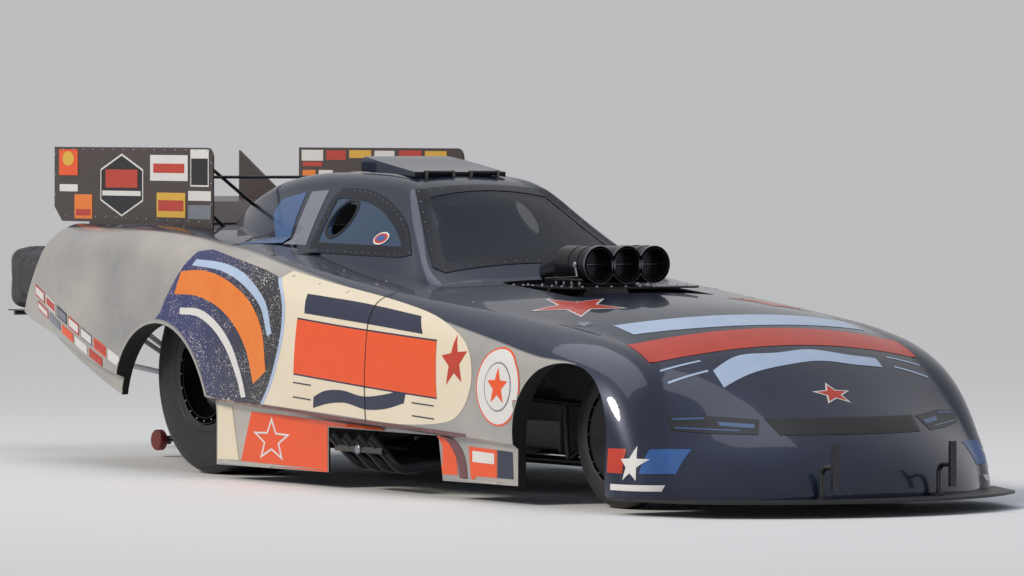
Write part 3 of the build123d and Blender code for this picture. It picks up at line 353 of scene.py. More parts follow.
@dataclass(frozen=True)
class TyreRubber(Finish):
    """Slick tyre compound: dusty rubber with moulding rings round the wheel's own axis."""

    axle: Point2 = (0.0, 0.0)
    ring_mm: float = 9.0
    ring_weight: float = 0.12

    def colour_source(self, graph: Graph, place: Socket) -> Socket:
        """Adds a scuffed, dusty rubber colour; see Finish."""
        away = {"Vector": place, "Location": (-self.axle[0], 0.0, -self.axle[1])}
        centred = graph.add("Mapping", None, away).outputs[0]
        flat = graph.add("VectorMath", {"operation": "MULTIPLY"}, {0: centred, 1: (1.0, 0.0, 1.0)})
        reach = graph.add("VectorMath", {"operation": "LENGTH"}, {0: flat.outputs[0]})
        turns = graph.maths("MULTIPLY", reach.outputs["Value"], 2000 * math.pi / self.ring_mm)
        dust = graph.noise(place, 22.0, 5.0)
        level = graph.maths("MULTIPLY_ADD", graph.maths("SINE", turns), self.ring_weight, dust)
        return graph.blend(level, linear(self.colour), linear(self.second))


@dataclass(frozen=True)
class Weave(Finish):
    """Woven cloth: thread waves along each axis, one thread to a half wave."""

    thread_mm: float = 5.0
    half_wave: float = 6.28
    thread_depth: float = 0.0006

    def relief(self, graph: Graph, place: Socket, grain: Socket) -> Socket:
        """Adds the thread relief; see Finish."""
        scale = 1000 / (self.thread_mm * self.half_wave)
        inputs = {"Vector": place, "Scale": scale, "Distortion": 0.4}
        threads = [
            graph.add("TexWave", {"bands_direction": axis}, inputs).outputs["Fac"] for axis in "XZY"
        ]
        height = graph.maths("ADD", graph.maths("ADD", *threads[:2]), threads[2])
        return graph.bump(height, self.thread_depth, 0.5)


@dataclass(frozen=True)
class TintedPane(Finish):
    """Thin polycarbonate window, tinted, with a hard gloss."""

    clear: float = 0.5

    def values(self) -> dict[str, float | Colour]:
        """Adds the see-through and polycarbonate's refraction; see Finish."""
        return super().values() | {"Alpha": 1.0 - self.clear, "IOR": 1.58}


@dataclass(frozen=True)
class HeatedSteel(Finish):
    """Exhaust tube steel that runs from straw and blue at the ports to soot at the open tips."""

    near_y: float = 0.32
    far_y: float = 0.97
    shake: float = 0.12

    def colour_source(self, graph: Graph, place: Socket) -> Socket:
        """Adds the heat colours outward along Y; see Finish."""
        out = graph.maths("ABSOLUTE", graph.add("SeparateXYZ", None, {0: place}).outputs["Y"])
        shaken = graph.maths("MULTIPLY_ADD", graph.noise(place, 18.0, 4.0), self.shake, out)
        ramp = graph.add("ValToRGB", None, {0: graph.ranged(shaken, self.near_y, self.far_y)})
        marks = ramp.color_ramp.elements
        stops = [(0.0, "8a7a55"), (0.25, "54476b"), (0.55, "30303a"), (1.0, self.colour)]
        for number, (share, shade) in enumerate(stops):
            mark = marks[number] if number < len(marks) else marks.new(share)
            mark.position, mark.color = share, linear(shade)
        return ramp.outputs[0]


def vinyl(name: str, colour: str, second: str, **changes: float) -> Finish:
    """A printed vinyl wrap film.

    Args:
        name: what is printed.
        colour: its main colour.
        second: its mottle's colour.
        changes: what differs from the usual film.

    Returns:
        The finish.
    """
    film = {
        "roughness": 0.36, "rough_spread": 0.04, "coat": 0.3, "coat_roughness": 0.05,
        "mottle_mm": 90, "grain_mm": 2.0, "grain_depth_mm": 0.0,
    }
    return Finish(f"wrap_{name}", colour, second, **(film | changes))


# Numbers in the order of Finish: metallic, roughness and its spread, clear coat and its roughness,
# then mottle, grain and grain depth in millimetres
GLOSS = ("0a1730", "0e1d3a", 0.35, 0.34, 0.03, 0.7, 0.03, 900, 2, 0.0)
# Clear-coated race paint: near-black navy on top, a warm pearl silver on the flanks
NAVY_PAINT = Finish("race_paint_navy", *GLOSS)
FLANK_PAINT = BodyPaint(
    "race_paint_navy_over_pearl", *GLOSS, below="c3bdb2", below_second="9b9a99",
    waist=(
        (-2.62, 1.09), (-2.1, 1.11), (-1.6, 1.11), (-1.1, 1.10), (-0.6, 1.05), (0.0, 0.955),
        (0.6, 0.865), (1.2, 0.775), (1.7, 0.69), (2.05, 0.63), (2.3, 0.60), (2.42, 0.0),
    ),
)
CREAM_PRINT = vinyl("cream", "ece0c8", "e0d2b6", roughness=0.34, mottle_mm=180)
DARK_PRINT = SpeckledPrint(
    "wrap_dark_speckled", "22222a", "2a2a33", 0.0, 0.36, 0.04, 0.3, 0.05, 120, 2, 0.0,
    fade="2c3268", fade_x=(-0.75, -0.15),
)
ORANGE_PRINT = vinyl("orange", "f0560c", "e44c0a")
AMBER_PRINT = vinyl("amber", "ee8a28", "e6701a")
RED_PRINT = vinyl("red", "c93a1c", "ae2c18")
DEEP_RED_PRINT = vinyl("deep_red", "6a2426", "581d22", roughness=0.34, rough_spread=0.05, coat=0.8)
NAVY_PRINT = vinyl("navy", "141b38", "1c2342")
BLUE_PRINT = vinyl("blue", "2f5fa0", "2a548f")
ICE_PRINT = vinyl("ice_blue", "b9cbe2", "a3b8d4", roughness=0.34)
STEEL_BLUE_PRINT = vinyl("steel_blue", "3f5f8c", "34527c", roughness=0.34)
WHITE_PRINT = vinyl("white", "e6e4e0", "d8d6d2", roughness=0.34)
GREY_PRINT = vinyl("grey", "767a84", "676b76", roughness=0.34, rough_spread=0.05, coat=0.8)
BLACK_PRINT = vinyl(
    "black", "0a0c12", "10131a", roughness=0.4, rough_spread=0.05, coat=0.1, coat_roughness=0.06
)
YELLOW_PRINT = vinyl("yellow", "e3b63a", "d9a52e")
# Anodised aluminium spoiler sheet, sun-warmed brown grey
PLATE_SHEET = Finish("anodised_plate", "5a4f4b", "4c4442", 0.55, 0.42, 0.08, 0.2, 0.2, 140, 1.5, 0.01)
# Carbon-black satin moulded trim
TRIM = Finish("satin_black_trim", "101115", "17191e", 0.0, 0.5, 0.06, 0.1, 0.2, 60, 2, 0.01)
# Woven carbon laminate, unpainted, on the inside of the body
LINING = Finish("bare_carbon_laminate", "0b0b0d", "121215", 0.0, 0.7, 0.06, 0.0, 0.2, 18, 2.5, 0.03)
WINDOW_BORDER = Finish(
    "window_border_navy", "0a101c", "0f1726", 0.5, 0.4, 0.04, 0.2, 0.1, 300, 2, 0.0
)
SCREEN_PANE = TintedPane(
    "screen_polycarbonate", "0a1626", "0e1d33", 0.0, 0.08, 0.0, grain_depth_mm=0.0, clear=0.34
)
SIDE_PANE = TintedPane(
    "side_polycarbonate", "2b4058", "344b66", 0.0, 0.12, 0.0, mottle_mm=500, grain_depth_mm=0.0,
    clear=0.12,
)
# Powder-coated chromoly tube
FRAME_COAT = Finish("powder_coat_black", "121317", "1a1b20", 0.1, 0.36, 0.06, 0.4, 0.15, 40, 1.2, 0.02)
STEEL = Finish("bare_steel", "6b6864", "55524f", 1.0, 0.36, 0.12, 0.0, 0.1, 35, 1.0, 0.02)
AXLE_STEEL = Finish("oiled_steel", "2e2c2c", "3c3936", 0.85, 0.42, 0.12, 0.0, 0.1, 45, 1.2, 0.03)
CAST_ALUMINIUM = Finish("cast_aluminium", "8d8d90", "77787c", 1.0, 0.42, 0.1, 0.0, 0.1, 50, 1.4, 0.06)
SHEET_ALUMINIUM = Finish(
    "brushed_aluminium", "a7a8ab", "96979b", 1.0, 0.34, 0.1, 0.0, 0.1, 80, 0.8, 0.01
)
BOLT_ZINC = Finish("zinc_plate", "a3a7ad", "8c9096", 1.0, 0.3, 0.08, 0.0, 0.1, 20, 0.6, 0.0)
# Small dome rivets, dulled
RIVET_HEAD = Finish("dull_rivet", "8d9299", "777c84", 0.8, 0.45, 0.05, 0.0, 0.1, 20, 0.6, 0.0)
# Hard-anodised black injector casting
INJECTOR_COAT = Finish(
    "hard_anodised_black", "14151a", "1e2026", 0.6, 0.3, 0.1, 0.2, 0.15, 30, 1.0, 0.02
)
BLADE_COAT = Finish("butterfly_blade", "7d8088", "5d6068", 0.9, 0.25, 0.08, 0.0, 0.1, 30, 1.0, 0.0)
SEAT_SHEET = Finish("carbon_seat", "1a1b1f", "24262b", 0.0, 0.42, 0.08, 0.3, 0.15, 12, 2.0, 0.02)
GRIP = Finish("grip_rubber", "141416", "1c1c1f", 0.0, 0.7, 0.08, 0.0, 0.1, 20, 1.2, 0.1)
RIM_COAT = Finish("rim_black_anodised", "141318", "1e1c20", 0.7, 0.34, 0.08, 0.2, 0.15, 40, 1.0, 0.01)
RIM_RING = Finish(
    "beadlock_ring_aluminium", "4d5058", "3d4048", 0.95, 0.32, 0.1, 0.0, 0.1, 30, 1.0, 0.0
)
WHEELIE_TYRE = Finish(
    "wheelie_polyurethane", "7c2a22", "63211c", 0.0, 0.55, 0.1, 0.1, 0.2, 20, 1.5, 0.08
)
EXHAUST = HeatedSteel("heated_steel", "191a1f", "25262c", 0.8, 0.34, 0.1, 0.0, 0.1, 30, 1.2, 0.02)
REAR_RUBBER = TyreRubber(
    "slick_rubber_rear", "131316", "2b2a2b", 0.0, 0.6, 0.14, grain_mm=1.6, grain_depth_mm=0.08,
    axle=(REAR_AXLE_X, REAR_RADIUS),
)
FRONT_RUBBER = TyreRubber(
    "tyre_rubber_front", "131316", "2b2a2b", 0.0, 0.62, 0.12, grain_mm=1.6, grain_depth_mm=0.08,
    axle=(FRONT_AXLE_X, FRONT_RADIUS),
)
# Ballistic nylon pack cloth, aramid strap, foil-wrapped tether, seat cloth and belt webbing
PACK_CLOTH = Weave(
    "ballistic_nylon", "15161a", "1f2025", 0.0, 0.78, 0.08, mottle_mm=90, thread_mm=4.0, sheen=0.3
)
STRAP_WEB = Weave(
    "aramid_webbing", "23242a", "2e3036", 0.0, 0.7, 0.08, mottle_mm=30, thread_mm=3.0, sheen=0.2
)
TETHER_WRAP = Weave(
    "foil_wrapped_tether", "b9babd", "8f9196", 0.75, 0.36, 0.14, mottle_mm=14, thread_mm=7.0
)
PAD_CLOTH = Weave(
    "seat_pad_cloth", "1b1c21", "26272d", 0.0, 0.85, 0.06, mottle_mm=40, thread_mm=3.0, sheen=0.4
)
HARNESS_WEB = Weave(
    "harness_webbing_red", "7a1f22", "8c2a2a", 0.0, 0.75, 0.06, mottle_mm=30, thread_mm=3.0, sheen=0.2
)
# Near-white gloss bands along the sill's foot and round the rear arch: painted highlight where light catches
# those edges
PAINTED_EDGE_HIGHLIGHT = Finish("bright_edge_trim", "c9c6c0", "b5b2ac", 0.6, 0.25, 0.06, 0.6, 0.05, 60, 2.0, 0.0)


# Meshes


def finished(
    name: str, mesh: bmesh.types.BMesh, finish: Finish, body: str, smooth: float = 35.0
) -> bpy.types.Object:
    """Turns a bmesh into a shown piece that rides on a body.

    Args:
        name: the piece's name.
        mesh: its geometry, which is freed.
        finish: its material.
        body: the CAD body that carries it.
        smooth: faces that meet at less than this many degrees shade smoothly.

    Returns:
        The new object.
    """
    data = bpy.data.meshes.new(name)
    for face in mesh.faces:
        face.smooth = True
    limit = math.radians(smooth)
    for edge in mesh.edges:
        edge.smooth = len(edge.link_faces) == 2 and edge.calc_face_angle(math.pi) < limit
    mesh.to_mesh(data)
    mesh.free()
    data.materials.append(finish.build())
    piece = bpy.data.objects.new(name, data)
    bpy.context.scene.collection.objects.link(piece)
    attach(piece, body)
    log.info("%s: %d faces", name, len(data.polygons))
    return piece


def everything(mesh: bmesh.types.BMesh) -> list:
    """Lists a mesh's elements.

    Args:
        mesh: the mesh.

    Returns:
        Its vertices, edges and faces.
    """
    return [*mesh.verts, *mesh.edges, *mesh.faces]


def turned(
    profile: Outline, axle: Vector, steps: int = 64, axis: Vector = Vector((0, 1, 0))
) -> bmesh.types.BMesh:
    """Spins a closed profile round an axle.

    Args:
        profile: (distance along the axle, radius) points of a closed loop.
        axle: a point on the axle.
        steps: the number of steps round.
        axis: the axle's direction, square to Z.

    Returns:
        A closed ring mesh.
    """
    mesh = bmesh.new()
    spots = [mesh.verts.new(axle + axis * run + Vector((0, 0, r))) for run, r in profile]
    edges = [mesh.edges.new((spots[i - 1], spots[i])) for i in range(len(spots))]
    bmesh.ops.spin(
        mesh, geom=spots + edges, cent=axle, axis=axis, angle=2 * math.pi, steps=steps,
        use_merge=True, use_duplicate=False,
    )
    bmesh.ops.remove_doubles(mesh, verts=mesh.verts, dist=1e-5)
    bmesh.ops.recalc_face_normals(mesh, faces=mesh.faces)
    return mesh


def peg(
    mesh: bmesh.types.BMesh, at: Vector, away: Vector, sides: int, foot: float, head: float, depth: float
) -> None:
    """Adds a round peg to a mesh.

    Args:
        mesh: the mesh.
        at: the peg's middle.
        away: its direction.
        sides: the number of sides.
        foot: its radius at the start.
        head: its radius at the end.
        depth: its length.
    """
    turn = away.to_track_quat("Z", "Y").to_matrix().to_4x4()
    bmesh.ops.create_cone(
        mesh, cap_ends=True, segments=sides, radius1=foot, radius2=head, depth=depth,
        matrix=Matrix.Translation(at) @ turn,
    )


def rod(start: Vector, end: Vector, radius: float, sides: int = 12) -> bmesh.types.BMesh:
    """A round bar between two points, with its rims eased.

    Args:
        start: one end.
        end: the other end.
        radius: the bar's radius.
        sides: the number of sides.

    Returns:
        The bar's mesh.
    """
    mesh = bmesh.new()
    span = end - start
    peg(mesh, (start + end) / 2, span, sides, radius, radius, span.length)
    rims = [e for e in mesh.edges if any(len(f.verts) > 4 for f in e.link_faces)]
    bmesh.ops.bevel(
        mesh, geom=rims, offset=min(radius * 0.2, span.length * 0.3), segments=1, profile=0.5,
        affect="EDGES", material=-1,
    )
    return mesh


def block(low: Vector, high: Vector, ease: float, segments: int = 2) -> bmesh.types.BMesh:
    """A box with rounded edges.

    Args:
        low: the lowest corner.
        high: the highest corner.
        ease: the edge radius.
        segments: the steps of the rounding.

    Returns:
        The box's mesh.
    """
    mesh = bmesh.new()
    scale = Matrix.Diagonal((*(high - low), 1))
    bmesh.ops.create_cube(mesh, size=1, matrix=Matrix.Translation((low + high) / 2) @ scale)
    bmesh.ops.bevel(
        mesh, geom=list(mesh.edges), offset=ease, segments=segments, profile=0.5,
        affect="EDGES", material=-1,
    )
    return mesh


def joined(parts: list[bmesh.types.BMesh]) -> bmesh.types.BMesh:
    """Gathers several meshes into one.

    Args:
        parts: the meshes, which are freed.

    Returns:
        One mesh with all of them.
    """
    whole = bmesh.new()
    for part in parts:
        data = bpy.data.meshes.new("part")
        part.to_mesh(data)
        part.free()
        whole.from_mesh(data)
        bpy.data.meshes.remove(data)
    return whole


def rivets(
    name: str, hits: list, radius: float, rise: float = 0.003, body: str = "body_shell"
) -> None:
    """Sets round-headed fasteners on a surface.

    Args:
        name: the piece's name.
        hits: points with their normals, or None where the surface ends.
        radius: the head's radius.
        rise: the head's height.
        body: the body that carries them.
    """
    heads = bmesh.new()
    for spot, normal in filter(None, hits):
        peg(heads, spot + normal * rise * 0.45, normal, 8, radius, radius * 0.55, rise)
    finished(name, heads, RIVET_HEAD, body, 60)


# Outlines


def star(centre: Point2, across: float, height: float, turn: float = 0.0) -> Outline:
    """A five-point star.

    Args:
        centre: its middle in the view.
        across: its half width.
        height: its half height.
        turn: its turn in degrees.

    Returns:
        Ten corners.
    """
    corners = []
    for step in range(10):
        reach = 1.0 if step % 2 == 0 else 0.42
        angle = math.radians(90 + turn + 36 * step)
        x, y = across * reach * math.cos(angle), height * reach * math.sin(angle)
        corners.append((centre[0] + x, centre[1] + y))
    return corners


def oval(centre: Point2, across: float, height: float, steps: int = 40) -> Outline:
    """An ellipse's corners.

    Args:
        centre: its middle in the view.
        across: its half width.
        height: its half height.
        steps: the number of corners.

    Returns:
        The corners.
    """
    turns = [2 * math.pi * k / steps for k in range(steps)]
    return [(centre[0] + across * math.cos(a), centre[1] + height * math.sin(a)) for a in turns]


def box(x0: float, z0: float, x1: float, z1: float) -> Outline:
    """A rectangle's four corners.

    Args:
        x0: its first side.
        z0: its foot.
        x1: its last side.
        z1: its top.

    Returns:
        The corners.
    """
    return [(x0, z0), (x1, z0), (x1, z1), (x0, z1)]


def moved(points: Outline, dx: float, dz: float = 0.0) -> Outline:
    """An outline moved in its view.

    Args:
        points: its corners.
        dx: the move along the first coordinate.
        dz: the move along the second.

    Returns:
        The moved corners.
    """
    return [(x + dx, z + dz) for x, z in points]


def along(points: Outline, pitch: float) -> Outline:
    """Points at an even pitch round a closed outline.

    Args:
        points: the outline's corners.
        pitch: the distance between points.

    Returns:
        The evenly spaced points.
    """
    ring = points + points[:1]
    spans = [math.dist(a, b) for a, b in zip(ring, ring[1:])]
    count = max(int(sum(spans) / pitch), 1)
    made = []
    for k in range(count):
        want = sum(spans) * k / count
        for (a, b), span in zip(zip(ring, ring[1:]), spans):
            if want <= span + 1e-9:
                share = want / span if span else 0
                made.append((a[0] + (b[0] - a[0]) * share, a[1] + (b[1] - a[1]) * share))
                break
            want -= span
    return made


def grown(points: Outline, amount: float) -> Outline:
    """Moves an outline's edges outward.

    Args:
        points: the corners of a closed outline, in either turn.
        amount: the distance, negative for inward.

    Returns:
        The moved corners.
    """
    area = sum(a[0] * b[1] - b[0] * a[1] for a, b in zip(points, points[1:] + points[:1]))
    sign = 1 if area > 0 else -1
    made = []
    for k, (x, y) in enumerate(points):
        before, after = points[k - 1], points[(k + 1) % len(points)]
        one = Vector((x - before[0], y - before[1])).normalized()
        two = Vector((after[0] - x, after[1] - y)).normalized()
        out = Vector((one.y + two.y, -one.x - two.x)) * sign
        out = out.normalized() * amount / max(math.cos(one.angle(two, 0) / 2), 0.4)
        made.append((x + out.x, y + out.y))
    return made


def band(points: Outline, inner: float, outer: float) -> list[Outline]:
    """A closed band along an outline, as one four-cornered outline a run.

    Args:
        points: the outline's corners.
        inner: how far the band reaches inward.
        outer: how far it reaches outward.

    Returns:
        The runs of the band.
    """
    near, far = grown(points, -inner), grown(points, outer)
    after = [(k + 1) % len(points) for k in range(len(points))]
    return [[near[k], near[n], far[n], far[k]] for k, n in enumerate(after)]


def arc(a: Point2, b: Point2, c: Point2, steps: int = 16) -> Outline:
    """Points on the circular arc through three points.

    Args:
        a: the first end.
        b: a point on the arc.
        c: the last end.
        steps: the number of steps.

    Returns:
        The points from a to c.
    """
    (ax, ay), (bx, by), (cx, cy) = a, b, c
    d = 2 * (ax * (by - cy) + bx * (cy - ay) + cx * (ay - by))
    aa, bb, cc = ax**2 + ay**2, bx**2 + by**2, cx**2 + cy**2
    ux = (aa * (by - cy) + bb * (cy - ay) + cc * (ay - by)) / d
    uy = (aa * (cx - bx) + bb * (ax - cx) + cc * (bx - ax)) / d
    radius = math.hypot(ax - ux, ay - uy)
    start, through, end = (math.atan2(y - uy, x - ux) for x, y in (a, b, c))
    swing, part = (end - start) % (2 * math.pi), (through - start) % (2 * math.pi)
    if part > swing:
        swing -= 2 * math.pi
    turns = [start + swing * k / steps for k in range(steps + 1)]
    return [(ux + radius * math.cos(t), uy + radius * math.sin(t)) for t in turns]


def eased(points: Outline, steps: int = 5) -> Outline:
    """A smooth line through a few points.

    Args:
        points: the points.
        steps: the number of steps between two of them.

    Returns:
        The points of the smooth line.
    """
    ends = [Vector(p) for p in points]
    ends = [2 * ends[0] - ends[1], *ends, 2 * ends[-1] - ends[-2]]
    made = []
    for a, b, c, d in zip(ends, ends[1:], ends[2:], ends[3:]):
        bend, twist = 2 * a - 5 * b + 4 * c - d, 3 * b - a - 3 * c + d
        for t in (k / steps for k in range(steps)):
            made.append(0.5 * (2 * b + (c - a) * t + bend * t**2 + twist * t**3))
    return [tuple(p) for p in [*made, ends[-2]]]


def strip(near: Outline, far: Outline) -> list[Outline]:
    """A band between two lines of equally many points, as one outline a run.

    Lines of three to eight points are smoothed.

    Args:
        near: the first line.
        far: the second line.

    Returns:
        The runs of the band.
    """
    if 3 <= len(near) <= 8:
        near, far = eased(near), eased(far)
    return [[near[k], near[k + 1], far[k + 1], far[k]] for k in range(len(near) - 1)]


def bow(low: float, high: float, half: float, sag: float, steps: int = 12) -> list[Outline]:
    """A band across the hood, bowed forward at the middle, in the plan view.

    Args:
        low: X of its rear edge on the centreline.
        high: X of its front edge on the centreline.
        half: its half width along Y.
        sag: how far its ends lie behind its middle.
        steps: the number of runs.

    Returns:
        The runs of the band.
    """
    places = [(-half + 2 * half * k / steps) for k in range(steps + 1)]
    near, far = ([(x - sag * (y / half) ** 2, y) for y in places] for x in (low, high))
    return strip(near, far)


# The surface that carries prints


@dataclass
class Skin:
    """An outer surface on which prints, borders and fasteners are laid."""

    nodes: list[bpy.types.Object]
    lift: float = 0.0011
    thickness: float = 0.0006
    layer_gap: float = 0.0003
    step: float = 0.03
    bridge: float = 0.009
    sunk: float = 0.003

    def __post_init__(self) -> None:
        """Builds the search tree from the nodes' meshes."""
        whole = bmesh.new()
        for node in self.nodes:
            whole.from_mesh(node.data)
        self.tree = BVHTree.FromBMesh(whole)
        whole.free()

    def outward(self, view: View, side: Side) -> Vector:
        """The direction from the body to the viewer.

        Args:
            view: the direction of the view.
            side: the flank, for the flank view.

        Returns:
            A unit vector.
        """
        way = Vector((0, 0, 0))
        way[view.value] = side.value if view is View.FLANK else 1
        return way

    def ray(
        self, view: View, u: float, v: float, side: Side = Side.LEFT
    ) -> tuple[Vector, Vector] | None:
        """Drops one point of an outline on the skin.

        Args:
            view: the direction of the view.
            u: the first coordinate: X, or Y in the nose view.
            v: the second coordinate: Z, or Y in the plan view.
            side: the flank, for the flank view.

        Returns:
            The point and the skin's normal there, or None.
        """
        way = self.outward(view, side)
        start = Vector({View.NOSE: (0, u, v), View.FLANK: (u, 0, v), View.PLAN: (u, v, 0)}[view])
        spot, normal, *_ = self.tree.ray_cast(start + way * RAY_START[view], -way)
        if spot is None:
            return None
        return spot, -normal if normal.dot(way) < 0 else normal

    def settle(
        self, view: View, u: float, v: float, side: Side = Side.LEFT
    ) -> tuple[Vector, Vector] | None:
        """Drops a point on the skin, and bridges panel gaps; see ray.

        Args:
            view: the direction of the view.
            u: the first coordinate.
            v: the second coordinate.
            side: the flank, for the flank view.

        Returns:
            The point and the normal there, or None off the body.
        """
        best = self.ray(view, u, v, side)
        for du, dv in ((self.bridge, 0.0), (0.0, self.bridge)):
            near = self.ray(view, u - du, v - dv, side)
            far = self.ray(view, u + du, v + dv, side)
            if near is None or far is None:
                continue
            middle = (near[0] + far[0]) / 2
            proud = abs(middle[view.value])
            if best is None or proud > abs(best[0][view.value]) + self.sunk:
                best = (middle, (near[1] + far[1]).normalized())
        return best

    def lay(
        self, name: str, outlines: list[Outline], finish: Finish, view: View = View.FLANK,
        side: Side = Side.LEFT, layer: int = 0, step: float | None = None, body: str = "body_shell",
    ) -> None:
        """Lays a flat print on the skin.

        Args:
            name: the piece's name.
            outlines: closed outlines in the view's two coordinates.
            finish: the print's material.
            view: the direction of the view.
            side: the flank, for the flank view.
            layer: how many prints it lies over.
            step: the longest run of a flat facet, where it isn't the usual one.
            body: the body that carries it.
        """
        step = step or self.step
        mesh = bmesh.new()
        for outline in outlines:
            mesh.faces.new([mesh.verts.new((u, v, 0)) for u, v in outline])
        bmesh.ops.triangulate(mesh, faces=mesh.faces)
        low = [min(v.co[k] for v in mesh.verts) for k in (0, 1)]
        high = [max(v.co[k] for v in mesh.verts) for k in (0, 1)]
        for axis in (0, 1):
            cuts = int((high[axis] - low[axis]) / step)
            for cut in range(1, cuts + 1):
                place, across = Vector((0, 0, 0)), Vector((0, 0, 0))
                place[axis], across[axis] = low[axis] + cut * step, 1
                bmesh.ops.bisect_plane(mesh, geom=everything(mesh), plane_co=place, plane_no=across)
        bmesh.ops.triangulate(mesh, faces=mesh.faces)
        bmesh.ops.remove_doubles(mesh, verts=mesh.verts, dist=1e-5)
        lost = []
        rise = self.lift + layer * (self.thickness + self.layer_gap)
        for vert in mesh.verts:
            hit = self.settle(view, vert.co.x, vert.co.y, side)
            if hit is None:
                lost.append(vert)
            else:
                vert.co = hit[0] + hit[1] * rise
        bmesh.ops.delete(mesh, geom=lost, context="VERTS")
        mesh.normal_update()
        way = self.outward(view, side)
        turned_in = [f for f in mesh.faces if f.normal.dot(way) < 0]
        bmesh.ops.reverse_faces(mesh, faces=turned_in)
        bmesh.ops.solidify(mesh, geom=list(mesh.faces), thickness=-self.thickness)
        finished(name, mesh, finish, body)


# Sub-assemblies


@dataclass
class Studio:
    """A pale floor, soft lamps and the camera."""

    camera_at: tuple[float, float, float] = (23.878, -15.496, 1.545)
    aim: tuple[float, float, float] = (0.4364, 0.0, 0.8705)
    roll_degrees: float = 0.199
    lens: float = 221.37
    floor_colour: str = "e6e6e5"
    floor_drop: float = 0.001

    def camera(self) -> None:
        """Places the camera at the photograph's angle."""
        data = bpy.data.cameras.new("view")
        data.lens, data.sensor_width, data.clip_end = self.lens, 36.0, 400.0
        eye = bpy.data.objects.new("view", data)
        bpy.context.scene.collection.objects.link(eye)
        at, roll = Vector(self.camera_at), math.radians(self.roll_degrees)
        back = (at - Vector(self.aim)).normalized()
        right = UP.cross(back).normalized()
        up = back.cross(right)
        across = right * math.cos(roll) + up * math.sin(roll)
        over = up * math.cos(roll) - right * math.sin(roll)
        turn = Matrix((across, over, back)).transposed().to_4x4()
        eye.matrix_world = Matrix.Translation(at) @ turn
        bpy.context.scene.camera = eye

    def floor(self) -> None:
        """Lays a matt pale floor under the tyres."""
        mesh = bmesh.new()
        bmesh.ops.create_grid(mesh, x_segments=1, y_segments=1, size=60)
        data = bpy.data.meshes.new("floor")
        mesh.to_mesh(data)
        mesh.free()
        pale = Finish(
            "floor_matt", self.floor_colour, self.floor_colour, roughness=0.8, grain_depth_mm=0.0
        )
        data.materials.append(pale.build())
        data.transform(Matrix.Translation((0, 0, -self.floor_drop)))
        ground = bpy.data.objects.new("floor", data)
        bpy.context.scene.collection.objects.link(ground)

    def world(self) -> None:
        """Sets a soft sky, pale where it is seen directly, in gloss or through glass."""
        world = bpy.data.worlds.new("sky")
        bpy.context.scene.world = world
        world.use_nodes = True
        world.node_tree.nodes.clear()
        graph = Graph(world.node_tree)
        path = graph.add("LightPath").outputs
        direct = graph.maths("MAXIMUM", path["Is Camera Ray"], path["Is Transmission Ray"])
        seen = graph.maths("MAXIMUM", direct, path["Is Glossy Ray"])
        soft = graph.add("Background", None, {0: linear("bcc6d6"), 1: 0.5}).outputs[0]
        glow = graph.add("Background", None, {0: linear("bebec0"), 1: 1.0}).outputs[0]
        mix = graph.add("MixShader", None, {0: seen, 1: soft, 2: glow})
        graph.add("OutputWorld", None, {0: mix.outputs[0]})

    def lamp(
        self, name: str, kind: str, at: Vector, away: Vector, power: float, tint: str
    ) -> bpy.types.Light:
        """Adds a lamp.

        Args:
            name: the lamp's name.
            kind: SUN or AREA.
            at: its place.
            away: the direction from what it lights towards it.
            power: its strength, in watts for an area.
            tint: its colour.

        Returns:
            The lamp's data.
        """
        data = bpy.data.lights.new(name, kind)
        data.energy, data.color = power, linear(tint)[:3]
        lamp = bpy.data.objects.new(name, data)
        lamp.matrix_world = Matrix.Translation(at) @ away.to_track_quat("Z", "Y").to_matrix().to_4x4()
        bpy.context.scene.collection.objects.link(lamp)
        return data

    def build(self) -> None:
        """Builds the whole studio."""
        bpy.context.scene.view_settings.view_transform = "Standard"
        self.camera()
        self.floor()
        self.world()
        key = self.lamp("key", "SUN", Vector(), Vector((-0.1, -0.95, 0.75)), 1.9, "fff6ea")
        key.angle = math.radians(14)
        at = Vector((0.2, -1.2, 8.0))
        top = self.lamp("top", "AREA", at, at - Vector((0.3, 0, 0.8)), 240, "f4f6ff")
        top.shape, top.size, top.size_y = "RECTANGLE", 9.0, 6.0
        log.info("studio")


def dress(frame: dict, looks: dict[Finish, tuple[str, ...]]) -> None:
    """Gives CAD nodes their finishes.

    Args:
        frame: the loaded frame.
        looks: each finish and the nodes that have it.
    """
    for finish, nodes in looks.items():
        for node in nodes:
            data = frame["nodes"][node].data
            if not data.materials:
                data.materials.append(None)
            for slot in range(len(data.materials)):
                data.materials[slot] = finish.build()
        log.info("%s: %s", finish.name, ", ".join(nodes))


